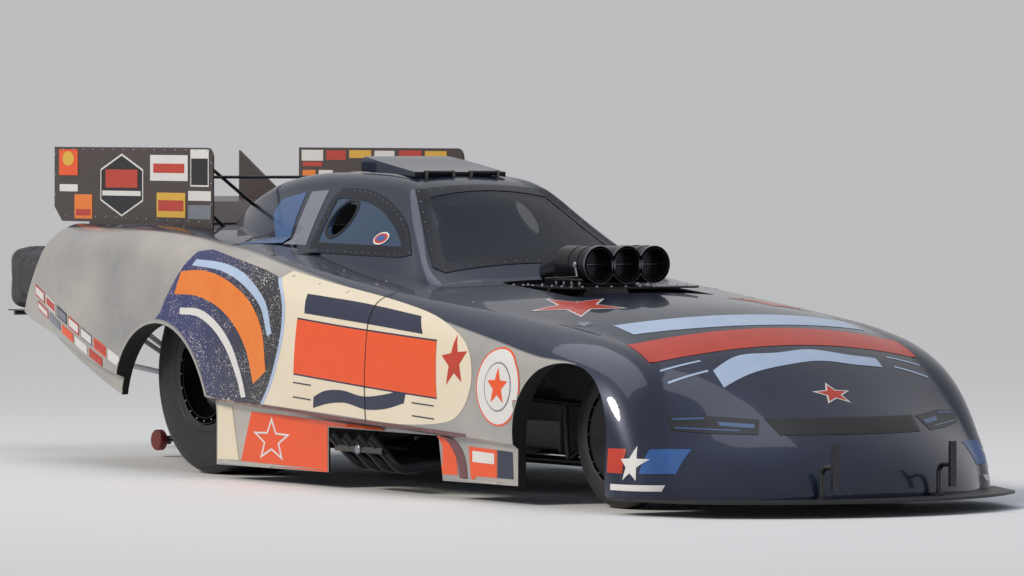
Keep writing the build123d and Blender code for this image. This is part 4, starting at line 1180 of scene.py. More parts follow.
@dataclass
class BodyShell:
    """The one-piece body: its panels, windows and aerodynamic sheets."""

    frame: dict
    smooth: float = 28.0
    weld: float = 2e-5
    spine_half: float = 2.3
    spine_height: float = 0.45
    outward: float = 0.1

    def panel(self, node: str, finish: Finish, lined: bool = True) -> None:
        """Replaces a panel's loose triangles by the same shape with a smooth gloss surface.

        Args:
            node: the CAD node.
            finish: its paint.
            lined: whether the faces towards the inside are bare carbon cloth.
        """
        source = self.frame["nodes"][node]
        mesh = bmesh.new()
        mesh.from_mesh(source.data)
        bmesh.ops.remove_doubles(mesh, verts=mesh.verts, dist=self.weld)
        for face in mesh.faces:
            x, y, z = face.calc_center_median()
            past = max(x - self.spine_half, 0) + min(x + self.spine_half, 0)
            away = Vector((past, y, z - self.spine_height)).normalized()
            face.material_index = int(lined and face.normal.dot(away) < self.outward)
        piece = finished(f"{node}_skin", mesh, finish, source["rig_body"], self.smooth)
        if lined:
            piece.data.materials.append(LINING.build())
        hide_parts(node)

    def build(self) -> None:
        """Dresses every part of the body."""
        for node in ("front_clip", "cabin_shell", "side_panel_right", "side_panel_left"):
            self.panel(node, FLANK_PAINT)
        self.panel("roof_hatch", NAVY_PAINT)
        self.panel("windscreen", SCREEN_PANE, False)
        self.panel("side_windows", SIDE_PANE, False)
        dress(self.frame, {
            TRIM: ("tail_panel", "splitter"),
            PLATE_SHEET: ("rear_spoiler", "spoiler_plates", "centre_fin"),
            FRAME_COAT: ("spoiler_stays", "nose_bars"),
            SHEET_ALUMINIUM: ("body_braces",),
            STEEL: ("hatch_hinge",),
        })


@dataclass
class Running:
    """The chassis, engine and wheels, dressed."""

    frame: dict

    def build(self) -> None:
        """Gives each mechanical node its finish."""
        dress(self.frame, {
            FRAME_COAT: ("chassis_frame", "roll_cage", "wheelie_bar", "chute_rack"),
            SHEET_ALUMINIUM: ("floor_pan", "fuel_tank"),
            CAST_ALUMINIUM: ("engine_block", "supercharger"),
            INJECTOR_COAT: ("injector_plate", "injector_hat"),
            AXLE_STEEL: (
                "rear_axle_housing", "rear_axle_shaft", "front_axle", "knuckle_left", "knuckle_right",
            ),
            EXHAUST: ("headers_left", "headers_right"),
            FRONT_RUBBER: ("front_tyre_left", "front_tyre_right"),
            REAR_RUBBER: ("rear_tyres",),
            RIM_COAT: ("front_rim_left", "front_rim_right", "rear_rims"),
            WHEELIE_TYRE: ("wheelie_wheels",),
            SEAT_SHEET: ("driver_seat",),
            GRIP: ("steering_wheel",),
            PACK_CLOTH: ("chute_pack_left", "chute_pack_right"),
            TETHER_WRAP: ("chute_tethers",),
        })


@dataclass
class Livery:
    """Printed vinyl and painted graphics on the body: bands, stars and plain labels, with no words."""

    skin: Skin
    arch_centre: Point2 = (-1.005, 0.248)
    arch_radius: float = 0.44
    keyline: float = 0.007
    label_slope: float = 0.315
    label_gap: float = 0.022
    corner_step: float = 0.008

    def flank(self, name: str, outlines: list[Outline], finish: Finish, layer: int = 0) -> None:
        """Lays a print on both flanks.

        Args:
            name: the piece's name, without its side.
            outlines: outlines in X and Z.
            finish: the material.
            layer: how many prints it lies over.
        """
        for side in Side:
            self.skin.lay(f"{name}_{side.name.lower()}", outlines, finish, side=side, layer=layer)

    def patches(self, *rows: tuple[str, Outline, Finish, int]) -> None:
        """Lays plain patches on both flanks.

        Args:
            rows: each one's name, outline, finish and layer.
        """
        for name, outline, finish, layer in rows:
            self.flank(name, [outline], finish, layer)

    def strips(self, *rows: tuple[str, Outline, Outline, Finish, int]) -> None:
        """Lays bands on both flanks.

        Args:
            rows: each one's name, its two edges, finish and layer.
        """
        for name, near, far, finish, layer in rows:
            self.flank(name, strip(near, far), finish, layer)

    def arch_edge(self, grow: float, first: float, last: float, steps: int = 14) -> Outline:
        """Points round the rear wheel arch.

        Args:
            grow: how far outside the arch's edge.
            first: the first angle in degrees from the front.
            last: the last angle.
            steps: the number of steps.

        Returns:
            The points.
        """
        (x, z), reach = self.arch_centre, self.arch_radius + grow
        turns = [math.radians(first + (last - first) * k / steps) for k in range(steps + 1)]
        return [(x + reach * math.cos(a), z + reach * math.sin(a)) for a in turns]

    def fields(self) -> None:
        """The two big rounded fields on the door: dark behind, cream in front."""
        edge = [
            (-0.03, 0.915), (0.066, 0.82), (0.088, 0.687), (0.052, 0.553), (-0.008, 0.44),
            (-0.085, 0.352),
        ]
        bulge = eased(edge)
        dark = [
            (-0.746, 1.02), (-0.66, 1.03), (-0.393, 0.985), (-0.161, 0.945), *bulge,
            (-0.364, 0.352), (-0.50, 0.366), *self.arch_edge(0.02, 16, 92), (-0.975, 0.74),
            (-0.942, 0.796), (-0.87, 0.888),
        ]
        cream = eased([
            (0.011, 0.945), (0.358, 0.898), (0.873, 0.836), (1.231, 0.778), (1.461, 0.705),
            (1.559, 0.643), (1.597, 0.56), (1.592, 0.475), (1.53, 0.385), (1.40, 0.33),
            (1.05, 0.309), (0.57, 0.328), (0.112, 0.345), (-0.06, 0.352),
        ], 4)
        self.patches(
            ("print_dark_field", dark, DARK_PRINT, 0),
            ("print_cream_field", cream + moved(bulge[::-1], 0.012), CREAM_PRINT, 0),
        )
        self.strips(("print_pale_rim", moved(edge, -0.012), moved(edge, 0.012), ICE_PRINT, 1))

    def bands(self) -> None:
        """Plain bands where the door carries its colours, and the seam of the front clip."""
        top = [(0.204, 0.738), (0.55, 0.714), (0.90, 0.694), (1.317, 0.672)]
        foot = [(0.196, 0.50), (0.55, 0.478), (0.90, 0.457), (1.344, 0.434)]
        over, under = moved(top, 0, self.keyline), moved(foot, 0, -self.keyline)
        seam = [(0.80, 0.868), (0.772, 0.80), (0.776, 0.60), (0.775, 0.31)]
        self.strips(
            (
                "print_navy_band", [(0.24, 0.85), (0.70, 0.818), (1.14, 0.774)],
                [(0.255, 0.765), (0.72, 0.735), (1.205, 0.70)], NAVY_PRINT, 1,
            ),
            ("print_navy_keyline", over, under, NAVY_PRINT, 1),
            ("print_orange_band", top, foot, ORANGE_PRINT, 2),
            (
                "print_navy_wave",
                [(0.36, 0.402), (0.46, 0.432), (0.60, 0.438), (0.76, 0.418), (0.92, 0.43), (1.11, 0.462)],
                [(0.35, 0.352), (0.48, 0.376), (0.62, 0.384), (0.78, 0.362), (0.94, 0.37), (1.09, 0.40)],
                NAVY_PRINT, 1,
            ),
            (
                "print_amber_sweep",
                [(-0.82, 0.93), (-0.62, 0.935), (-0.40, 0.89), (-0.20, 0.80), (-0.08, 0.67), (-0.04, 0.50)],
                [(-0.86, 0.825), (-0.66, 0.82), (-0.47, 0.775), (-0.31, 0.69), (-0.20, 0.575), (-0.15, 0.44)],
                AMBER_PRINT, 1,
            ),
            (
                "print_pale_sweep",
                [(-0.72, 0.985), (-0.48, 0.968), (-0.26, 0.912), (-0.08, 0.81), (0.0, 0.67)],
                [(-0.74, 0.957), (-0.50, 0.938), (-0.29, 0.882), (-0.115, 0.785), (-0.035, 0.655)],
                ICE_PRINT, 1,
            ),
            (
                "print_white_sweep",
                [(-0.80, 0.765), (-0.62, 0.76), (-0.46, 0.70), (-0.33, 0.60), (-0.25, 0.47), (-0.22, 0.38)],
                [(-0.8, 0.735), (-0.64, 0.728), (-0.49, 0.67), (-0.37, 0.575), (-0.29, 0.46), (-0.26, 0.375)],
                WHITE_PRINT, 1,
            ),
            ("body_seam", seam, moved(seam, 0.005), BLACK_PRINT, 3),
        )
        spots = (
            (0.19, 0.34, 0.462), (0.185, 0.335, 0.398), (1.15, 1.32, 0.408), (1.15, 1.32, 0.352),
        )
        bars = [[(a, z), (b, z - 0.008), (b, z - 0.014), (a, z - 0.006)] for a, b, z in spots]
        self.flank("print_navy_bars", bars, NAVY_PRINT, 1)

    def stars(self) -> None:
        """Five-point stars on the flanks and the round badge by the front arch."""
        badge = (1.80, 0.495)
        self.patches(
            ("print_door_star", star((1.463, 0.59), 0.098, 0.115, 6), RED_PRINT, 1),
            ("badge_edge", oval(badge, 0.162, 0.166), ORANGE_PRINT, 0),
            ("badge_field", oval(badge, 0.154, 0.158), WHITE_PRINT, 1),
            ("badge_ring", oval(badge, 0.1, 0.104), GREY_PRINT, 2),
            ("badge_inner", oval(badge, 0.094, 0.098), WHITE_PRINT, 3),
            ("badge_star", star(badge, 0.078, 0.082), ORANGE_PRINT, 4),
        )

    def rocker(self) -> None:
        """The orange rocker with its star, and the blocks round the header notch."""
        orange = [
            (-0.262, 0.312), (0.06, 0.305), (0.383, 0.296), (0.383, 0.07), (0.0, 0.072),
            (-0.355, 0.077),
        ]
        rear = [(-0.555, 0.332), (-0.43, 0.326), (-0.37, 0.09), (-0.555, 0.085)]
        notch = [(1.285, 0.268), (1.36, 0.266), (1.42, 0.20), (1.44, 0.075), (1.285, 0.075)]
        front = [(1.52, 0.232), (1.74, 0.226), (1.74, 0.078), (1.54, 0.078)]
        front_band = [(1.55, 0.215), (1.72, 0.21), (1.72, 0.165), (1.55, 0.168)]
        front_end = [(1.745, 0.226), (1.86, 0.222), (1.87, 0.078), (1.745, 0.078)]
        middle = (-0.088, 0.19)
        self.patches(
            ("print_rocker_rear", rear, CREAM_PRINT, 0),
            ("print_rocker_orange", orange, ORANGE_PRINT, 0),
            ("print_rocker_star_line", star(middle, 0.165, 0.105), WHITE_PRINT, 1),
            ("print_rocker_star", star(middle, 0.128, 0.081), ORANGE_PRINT, 2),
            ("print_notch_block", notch, ORANGE_PRINT, 0),
            ("print_front_block", front, ORANGE_PRINT, 0),
            ("print_front_block_band", front_band, WHITE_PRINT, 1),
            ("print_front_block_end", front_end, NAVY_PRINT, 0),
        )
        sill = [(-0.50, 0.362), (0.005, 0.347), (0.605, 0.32), (1.205, 0.30), (1.55, 0.286)]
        strake = [(1.31, 0.266), (1.37, 0.235), (1.43, 0.17), (1.455, 0.075)]
        strake_front = [(1.36, 0.266), (1.43, 0.245), (1.49, 0.18), (1.515, 0.075)]
        self.strips(
            (
                "print_notch_strip", [(0.383, 0.296), (0.85, 0.283)], [(0.383, 0.272), (0.85, 0.272)],
                ORANGE_PRINT, 0,
            ),
            ("print_red_strake", strake, strake_front, DEEP_RED_PRINT, 1),
            ("print_sill_line", sill, moved(sill, 0, -0.012), DEEP_RED_PRINT, 2),
            # The two bands along the sill's foot are painted highlight on its lower edge
            (
                "sill_edge_trim", [(-0.54, 0.088), (0.38, 0.08)], [(-0.54, 0.068), (0.38, 0.064)],
                PAINTED_EDGE_HIGHLIGHT, 3,
            ),
            (
                "sill_edge_trim_front", [(1.29, 0.09), (1.88, 0.095)], [(1.29, 0.07), (1.88, 0.078)],
                PAINTED_EDGE_HIGHLIGHT, 3,
            ),
        )

    def quarter(self) -> None:
        """Plain labels along the foot of the rear quarter, and a painted highlight along the lip round the
        arch.
        """
        looks = [
            RED_PRINT, WHITE_PRINT, NAVY_PRINT, RED_PRINT, GREY_PRINT, ORANGE_PRINT, WHITE_PRINT,
            RED_PRINT,
        ]
        # Each row's first corner, number of labels, their length and their height
        rows = ((-2.36, 0.838, 7, 0.125, 0.052), (-2.33, 0.76, 5, 0.14, 0.042))
        for row, (first_x, first_z, count, length, tall) in enumerate(rows):
            for k in range(count):
                x = first_x + k * (length + self.label_gap)
                z = first_z - self.label_slope * (x - first_x)
                end = z - self.label_slope * length
                outer = [(x, z), (x + length, end), (x + length, end - tall), (x, z - tall)]
                inner = WHITE_PRINT if k % 3 == 0 else looks[(k + 2 + row) % len(looks)]
                self.patches(
                    (f"label_{row}_{k}", outer, looks[(k + 3 * row) % len(looks)], 0),
                    (f"label_{row}_{k}_inner", grown(outer, -0.008), inner, 1),
                )
        # A near-white band round the arch's edge: painted highlight on its lip
        near, far = (self.arch_edge(grow, 12, 168, 30) for grow in (0.001, 0.014))
        self.strips(("arch_lip_bright", near, far, PAINTED_EDGE_HIGHLIGHT, 1))

    def greenhouse(self) -> None:
        """The rear quarter window as a steel-blue print, its lighter blue partly a painted sky reflection,
        with its paler pillar and the badge on the glass.
        """
        # The quarter window is a window graphic, and its lighter blue also stands in for the sky's
        # reflection: a painted reflection
        pane = [
            (-0.80, 1.19), (-0.80, 1.255), (-0.62, 1.29), (-0.565, 1.18), (-0.50, 1.06), (-0.60, 1.055),
        ]
        pillar = [(-0.575, 1.292), (-0.44, 1.30), (-0.345, 1.052), (-0.475, 1.055)]
        badge = (0.20, 1.09)
        self.patches(
            ("painted_quarter_window", pane, STEEL_BLUE_PRINT, 0),
            ("painted_pillar", pillar, GREY_PRINT, 0),
            ("window_badge", oval(badge, 0.05, 0.028), WHITE_PRINT, 2),
            ("window_badge_ring", oval(badge, 0.042, 0.022), RED_PRINT, 3),
            ("window_badge_centre", oval(badge, 0.028, 0.013), BLUE_PRINT, 4),
        )

    def corners(self) -> None:
        """The flag-like labels on the two corners of the nose."""
        # Name, outline, finish and layer; the nose curves away here, so the facets are short
        rows = (
            ("red", box(2.575, 0.27, 2.665, 0.17), RED_PRINT, 0),
            ("blue", box(2.735, 0.27, 2.825, 0.17), BLUE_PRINT, 0),
            ("star", star((2.70, 0.205), 0.052, 0.078), WHITE_PRINT, 1),
            ("band", box(2.60, 0.125, 2.81, 0.10), WHITE_PRINT, 0),
        )
        for side in Side:
            for name, outline, finish, layer in rows:
                self.skin.lay(
                    f"corner_label_{name}_{side.name.lower()}", [outline], finish, side=side,
                    layer=layer, step=self.corner_step,
                )

    def lamps(self) -> None:
        """The lamp and grille prints on the nose."""
        lens = (
            (0.735, 0.398), (0.60, 0.402), (0.40, 0.388), (0.44, 0.328), (0.60, 0.332), (0.74, 0.345),
        )
        glints = (
            ((0.72, 0.392), (0.60, 0.396), (0.60, 0.389), (0.715, 0.385)),
            ((0.56, 0.378), (0.43, 0.368), (0.445, 0.352), (0.56, 0.362)),
            ((0.72, 0.352), (0.50, 0.340), (0.50, 0.345), (0.72, 0.358)),
        )
        for side in Side:
            tag = side.name.lower()
            shape, *shines = ([(side.value * y, z) for y, z in row] for row in (lens, *glints))
            self.skin.lay(f"lamp_print_{tag}", [shape], BLACK_PRINT, View.NOSE)
            self.skin.lay(f"lamp_print_glints_{tag}", shines, STEEL_BLUE_PRINT, View.NOSE, layer=1)
        grille = [(-0.38, 0.392), (0.38, 0.392), (0.36, 0.326), (-0.36, 0.326)]
        bars = [
            [(-0.36 + 0.02 * k, z) for k, z in ((n, 0.388), (n + 0.35, 0.388), (n + 0.35, 0.33), (n, 0.33))]
            for n in range(36)
        ]
        self.skin.lay("grille_print", [grille], BLACK_PRINT, View.NOSE)
        self.skin.lay("grille_print_lines", bars, TRIM, View.NOSE, layer=1)

    def hood(self) -> None:
        """Stars and bowed bands on the hood."""
        rows = []
        for side in Side:
            tag, sign = side.name.lower(), side.value
            spot, inner, outer = (1.70, sign * 0.50), sign * 0.48, sign * 0.67
            bars = [
                [(x, inner), (x - 0.018, outer), (x - 0.010, outer), (x + 0.008, inner)]
                for x in (2.575, 2.63)
            ]
            rows += [
                (f"hood_star_line_{tag}", [star(spot, 0.25, 0.2, 90)], WHITE_PRINT, 0),
                (f"hood_star_{tag}", [star(spot, 0.22, 0.175, 90)], RED_PRINT, 1),
                (f"hood_small_star_{tag}", [star((2.0, outer), 0.05, 0.045, 90)], GREY_PRINT, 0),
                (f"hood_bars_{tag}", bars, ICE_PRINT, 0),
            ]
        places = [-0.46, -0.3, -0.12, 0.06, 0.24, 0.40]
        wave = strip(
            list(zip([2.64, 2.60, 2.615, 2.60, 2.62, 2.61], places)),
            list(zip([2.72, 2.70, 2.69, 2.675, 2.68, 2.66], places)),
        )
        rows += [
            ("hood_ice_band", bow(2.215, 2.366, 0.60, 0.10), ICE_PRINT, 0),
            ("hood_red_band", bow(2.405, 2.568, 0.69, 0.06), RED_PRINT, 0),
            ("hood_ice_wave", wave, ICE_PRINT, 0),
            ("nose_star_line", [star((2.853, 0), 0.058, 0.1, 90)], WHITE_PRINT, 0),
            ("nose_star", [star((2.853, 0), 0.045, 0.078, 90)], RED_PRINT, 1),
        ]
        for name, outlines, finish, layer in rows:
            self.skin.lay(name, outlines, finish, View.PLAN, layer=layer)

    def plates(self) -> None:
        """Plain labels on the outer faces of the spoiler plates."""
        turns = [k * math.pi / 3 for k in range(6)]
        hexagon = [(-1.85 + 0.232 * math.sin(a), 1.312 + 0.148 * math.cos(a)) for a in turns]
        self.patches(
            ("plate_hexagon_line", hexagon, WHITE_PRINT, 0),
            ("plate_hexagon", grown(hexagon, -0.009), BLACK_PRINT, 1),
            ("plate_hexagon_bars", box(-2.0, 1.30, -1.70, 1.385), RED_PRINT, 2),
            ("plate_hexagon_foot", box(-2.03, 1.262, -1.67, 1.285), WHITE_PRINT, 2),
            ("plate_label_white", box(-1.585, 1.335, -1.24, 1.455), WHITE_PRINT, 0),
            ("plate_label_bar", box(-1.555, 1.372, -1.27, 1.415), RED_PRINT, 1),
            ("plate_number_field", box(-1.215, 1.31, -1.05, 1.482), WHITE_PRINT, 0),
            ("plate_number_black", box(-1.207, 1.318, -1.058, 1.44), BLACK_PRINT, 1),
            ("plate_label_yellow", box(-1.524, 1.165, -1.262, 1.28), YELLOW_PRINT, 0),
            ("plate_label_yellow_band", box(-1.508, 1.195, -1.278, 1.245), RED_PRINT, 1),
            ("plate_label_orange", box(-2.45, 1.355, -2.27, 1.478), ORANGE_PRINT, 0),
            ("plate_label_orange_spot", oval((-2.36, 1.435), 0.055, 0.034), YELLOW_PRINT, 1),
            ("plate_label_strip", box(-2.444, 1.278, -2.269, 1.312), WHITE_PRINT, 0),
            ("plate_label_rose", box(-2.30, 1.15, -2.13, 1.265), AMBER_PRINT, 0),
            ("plate_label_rose_band", box(-2.285, 1.165, -2.145, 1.195), RED_PRINT, 1),
            ("plate_label_plain", box(-1.235, 1.245, -1.03, 1.29), WHITE_PRINT, 0),
            ("plate_label_plain_foot", box(-1.235, 1.16, -1.03, 1.225), GREY_PRINT, 0),
        )

    def inner_plates(self) -> None:
        """Plain labels along the top of each plate's inner face."""
        # X of both ends, Z of the foot and top, and the finish
        rows = (
            (-2.47, -2.27, 1.425, 1.478, WHITE_PRINT), (-2.46, -2.28, 1.398, 1.42, RED_PRINT),
            (-2.24, -2.06, 1.43, 1.476, RED_PRINT), (-2.03, -1.83, 1.44, 1.478, YELLOW_PRINT),
            (-1.80, -1.62, 1.432, 1.476, WHITE_PRINT), (-1.58, -1.38, 1.44, 1.478, RED_PRINT),
            (-1.35, -1.16, 1.442, 1.476, YELLOW_PRINT), (-2.46, -2.34, 1.335, 1.38, AMBER_PRINT),
            (-2.31, -2.18, 1.335, 1.38, WHITE_PRINT),
        )
        for side in Side:
            near, far = sorted((side.value * 0.6822, side.value * 0.6812))
            for k, (x0, x1, z0, z1, finish) in enumerate(rows):
                mesh = block(Vector((x0, near, z0)), Vector((x1, far, z1)), 0.0003, 1)
                finished(f"plate_inner_label_{k}_{side.name.lower()}", mesh, finish, "body_shell")

    def build(self) -> None:
        """Lays every print."""
        self.fields()
        self.bands()
        self.stars()
        self.rocker()
        self.quarter()
        self.greenhouse()
        self.hood()
        self.corners()
        self.lamps()
        self.plates()
        self.inner_plates()


@dataclass
class Glazing:
    """Black borders, rivets and port rims round the windows."""

    skin: Skin
    screen_top: Point2 = (0.205, 0.33)
    screen_foot: Point2 = (0.68, 0.54)
    low_rear: Point2 = (-0.28, 1.045)
    low_front: Point2 = (0.435, 1.033)
    high_rear: Point2 = (-0.35, 1.282)
    brow: Point2 = (0.1065, 1.225)
    port: Point2 = (-0.185, 1.175)
    port_radius: float = 0.077
    port_rim: float = 0.014
    rivet_rise: float = 0.0035

    def build(self) -> None:
        """Borders the windscreen and both side windows."""
        (tx, ty), (fx, fy) = self.screen_top, self.screen_foot
        screen = along([(tx, ty), (fx, fy), (fx, -fy), (tx, -ty)], 0.06)
        border = band(screen, 0.034, 0.03)
        self.skin.lay("screen_border", border, WINDOW_BORDER, View.PLAN, layer=1)
        heads = [self.skin.settle(View.PLAN, *p) for p in grown(screen, 0.014)]
        rivets("screen_rivets", heads, 0.0048, self.rivet_rise)
        ring = along([self.low_rear, *arc(self.low_front, self.brow, self.high_rear)], 0.045)
        near = oval(self.port, self.port_radius, self.port_radius)
        far = grown(near, self.port_rim)
        rim = strip(near + near[:1], far + far[:1])
        for side in Side:
            tag = side.name.lower()
            border = band(ring, 0.022, 0.024)
            self.skin.lay(f"side_window_border_{tag}", border, WINDOW_BORDER, side=side, layer=1)
            heads = [self.skin.settle(View.FLANK, *p, side) for p in grown(ring, 0.012)]
            rivets(f"side_window_rivets_{tag}", heads, 0.0046, self.rivet_rise)
            self.skin.lay(f"port_rim_{tag}", rim, WINDOW_BORDER, side=side, layer=1)


@dataclass
class Wheels:
    """Tyres with their moulded profiles, and the bolted rings of the rims."""

    rear_y: float = 0.59
    rear_half: float = 0.219
    rear_bead: float = 0.224
    front_y: float = 0.645
    front_half: float = 0.0595
    front_bead: float = 0.207
    bolts: int = 20
    ring_depth: float = 0.004

    def slick_half(self) -> Outline:
        """Half of the rear slick's profile, with a bulged, ribbed sidewall.

        Returns:
            (distance from the middle, radius) points from the tread to the bead.
        """
        r, w, b = REAR_RADIUS, self.rear_half, self.rear_bead
        return [
            (0.0, r), (0.12, r - 0.0004), (0.17, r - 0.0015), (0.188, r - 0.004), (0.199, r - 0.011),
            (0.206, r - 0.022), (0.209, r - 0.03), (w - 0.007, r - 0.034), (w - 0.0065, r - 0.04),
            (w - 0.009, r - 0.044), (w - 0.004, r - 0.075), (w, r - 0.12), (w - 0.001, b + 0.075),
            (w - 0.004, b + 0.05), (w - 0.001, b + 0.045), (w - 0.001, b + 0.036), (w - 0.006, b + 0.031),
            (w - 0.009, b + 0.014), (w - 0.015, b + 0.003), (w - 0.022, b),
        ]

    def narrow_half(self) -> Outline:
        """Half of the front tyre's profile, with one of its two tread grooves.

        Returns:
            (distance from the middle, radius) points from the tread to the bead.
        """
        r, w, b = FRONT_RADIUS, self.front_half, self.front_bead
        return [
            (0.0, r), (0.015, r), (0.0165, r - 0.004), (0.021, r - 0.004), (0.0225, r - 0.0004),
            (0.038, r - 0.002), (0.047, r - 0.007), (0.053, r - 0.016), (0.0545, r - 0.024),
            (w - 0.003, r - 0.03), (w, r - 0.048), (w - 0.001, b + 0.026), (w - 0.003, b + 0.022),
            (w - 0.001, b + 0.018), (w - 0.003, b + 0.01), (w - 0.009, b + 0.002), (w - 0.014, b),
        ]

    def tyre(self, half: Outline, x: float, y: float) -> bmesh.types.BMesh:
        """One tyre.

        Args:
            half: half of its profile.
            x: its axle's X.
            y: its middle.

        Returns:
            Its mesh.
        """
        profile = half + [(-run, radius) for run, radius in half[:0:-1]]
        return turned(profile, Vector((x, y, half[0][1])), 96)

    def ring(self, name: str, body: str, rim: str, at: Point2, side: Side, radii: Point2) -> None:
        """A clamping ring with its bolts, on a rim's outer face.

        Args:
            name: the piece's name.
            body: the body that carries it.
            rim: the CAD node of the rim.
            at: the axle's X and Z.
            side: the flank that it faces.
            radii: its inner and outer radius.
        """
        (low, high), sign = radii, side.value
        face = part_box(rim)[sign > 0].y - sign * self.ring_depth
        centre = Vector((at[0], face, at[1]))
        top = sign * self.ring_depth
        profile = [(0.0, low), (top, low + 0.001), (top, high - 0.001), (0.0, high)]
        finished(name, turned(profile, centre, 72), RIM_RING, body, 30)
        heads = bmesh.new()
        middle = (low + high) / 2
        for angle in (2 * math.pi * k / self.bolts for k in range(self.bolts)):
            spot = Vector((middle * math.cos(angle), 0.0055 * sign, middle * math.sin(angle)))
            peg(heads, centre + spot, Vector((0, sign, 0)), 6, 0.0058, 0.0052, 0.004)
        finished(f"{name}_bolts", heads, BOLT_ZINC, body, 20)

    def build(self) -> None:
        """Builds both axles' tyres and rings."""
        pair = [self.tyre(self.slick_half(), REAR_AXLE_X, y) for y in (-self.rear_y, self.rear_y)]
        slicks = finished("rear_slicks", joined(pair), REAR_RUBBER, "rear_wheels", 32)
        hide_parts("rear_tyres")
        rear, front = (REAR_AXLE_X, REAR_RADIUS), (FRONT_AXLE_X, FRONT_RADIUS)
        for side in Side:
            tag = side.name.lower()
            wheel, rim = f"front_wheel_{tag}", f"front_rim_{tag}"
            mesh = self.tyre(self.narrow_half(), FRONT_AXLE_X, side.value * self.front_y)
            tyre = finished(f"front_tyre_{tag}_tread", mesh, FRONT_RUBBER, wheel, 32)
            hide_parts(f"front_tyre_{tag}")
            self.ring(f"front_ring_{tag}", wheel, rim, front, side, (0.186, 0.204))
            self.ring(f"rear_ring_{tag}", "rear_wheels", "rear_rims", rear, side, (0.196, 0.220))


@dataclass
class Induction:
    """What is bolted to the injector: rims of the barrels, levers, rods, nozzles and fasteners."""

    pitch: float = 0.144
    barrel: float = 0.08
    bore: float = 0.07
    middle_z: float = 0.9923
    shaft_back: float = 0.07
    shaft_half: float = 0.214
    lever_y: float = 0.2275
    plate_inset: float = 0.018

    def rings(self, name: str, profiles: list[Outline], sides: tuple[int, ...], finish: Finish) -> None:
        """Puts turned rings on the barrels.

        Args:
            name: the piece's name.
            profiles: (distance ahead of the mouth, radius) points of each ring.
            sides: the barrels, by the sign of Y, or 0 for the middle one.
            finish: the rings' material.
        """
        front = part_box("injector_hat")[1].x
        rings = [
            turned(profile, Vector((front, side * self.pitch, self.middle_z)), 48, FORWARD)
            for side in sides
            for profile in profiles
        ]
        finished(name, joined(rings), finish, "chassis", 30)

    def build(self) -> None:
        """Builds the injector's small pieces."""
        bore, barrel = self.bore, self.barrel
        rim = [
            (-0.006, bore), (0.0, bore + 0.002), (0.0, barrel + 0.0015), (-0.012, barrel + 0.0015),
            (-0.012, barrel - 0.001), (-0.006, barrel - 0.001),
        ]
        self.rings("barrel_rims", [rim], (-1, 0, 1), BLADE_COAT)
        foot, top = barrel - 0.001, barrel + 0.0022
        bands = [
            [(-back, foot), (-back, top), (-back - 0.014, top), (-back - 0.014, foot)]
            for back in (0.06, 0.13)
        ]
        self.rings("barrel_bands", bands, (-1, 1), INJECTOR_COAT)
        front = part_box("injector_hat")[1].x
        middle = Vector((front - self.shaft_back, 0, self.middle_z))
        parts, rods = [], []
        for side in (-1, 1):
            pivot = middle + Vector((0, side * self.lever_y, 0))
            low_end = pivot + Vector((0.018, 0, -0.052))
            half = Vector((0, 0.006, 0))
            parts += [rod(pivot - half, pivot + half, 0.013, 16), rod(pivot, low_end, 0.005, 8)]
            rods.append(rod(low_end, low_end + Vector((-0.25, 0, -0.012)), 0.004, 8))
            rail = Vector((front - 0.30, side * 0.19, 0.925))
            rods.append(rod(rail, rail + Vector((0.24, 0, 0)), 0.009, 12))
            for k in range(4):
                nozzle = rail + Vector((0.03 + 0.06 * k, 0, 0))
                parts.append(rod(nozzle + UP * 0.012, nozzle - UP * 0.024, 0.006, 8))
        reach = Vector((0, self.shaft_half, 0))
        shaft = rod(middle - reach, middle + reach, 0.0066, 12)
        finished("butterfly_shaft_sleeve", shaft, BLADE_COAT, "chassis", 40)
        finished("throttle_levers", joined(parts), BOLT_ZINC, "chassis", 40)
        finished("throttle_rods", joined(rods), STEEL, "chassis", 40)
        low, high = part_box("injector_plate")
        inset = self.plate_inset
        ring = along(box(low.x + inset, low.y + inset, high.x - inset, high.y - inset), 0.075)
        hits = [(Vector((x, y, high.z)), UP) for x, y in ring]
        rivets("injector_plate_bolts", hits, 0.007, 0.005, "chassis")


@dataclass
class HeaderStrap:
    """The bar and clamp that tie the header tips together on each side."""

    first_x: float = 0.541
    pitch: float = 0.105
    face_y: float = 0.9685
    height: float = 0.185
    half_height: float = 0.013
    overhang: float = 0.035
    thickness: float = 0.004

    def build(self) -> None:
        """Builds both straps."""
        for side in Side:
            tag, sign = side.name.lower(), side.value
            first = Vector((self.first_x, sign * self.face_y, self.height))
            last = first + Vector((3 * self.pitch, 0, 0))
            near, far = sorted((first.y, first.y + sign * self.thickness))
            low = Vector((first.x - self.overhang, near, self.height - self.half_height))
            high = Vector((last.x + self.overhang, far, self.height + self.half_height))
            finished(f"header_strap_{tag}", block(low, high, 0.0012, 1), STEEL, "chassis", 30)
            middle = (first + last) / 2
            clamp = rod(middle, middle + Vector((0, sign * 0.011, 0)), 0.02, 20)
            finished(f"header_clamp_{tag}", clamp, BOLT_ZINC, "chassis", 40)


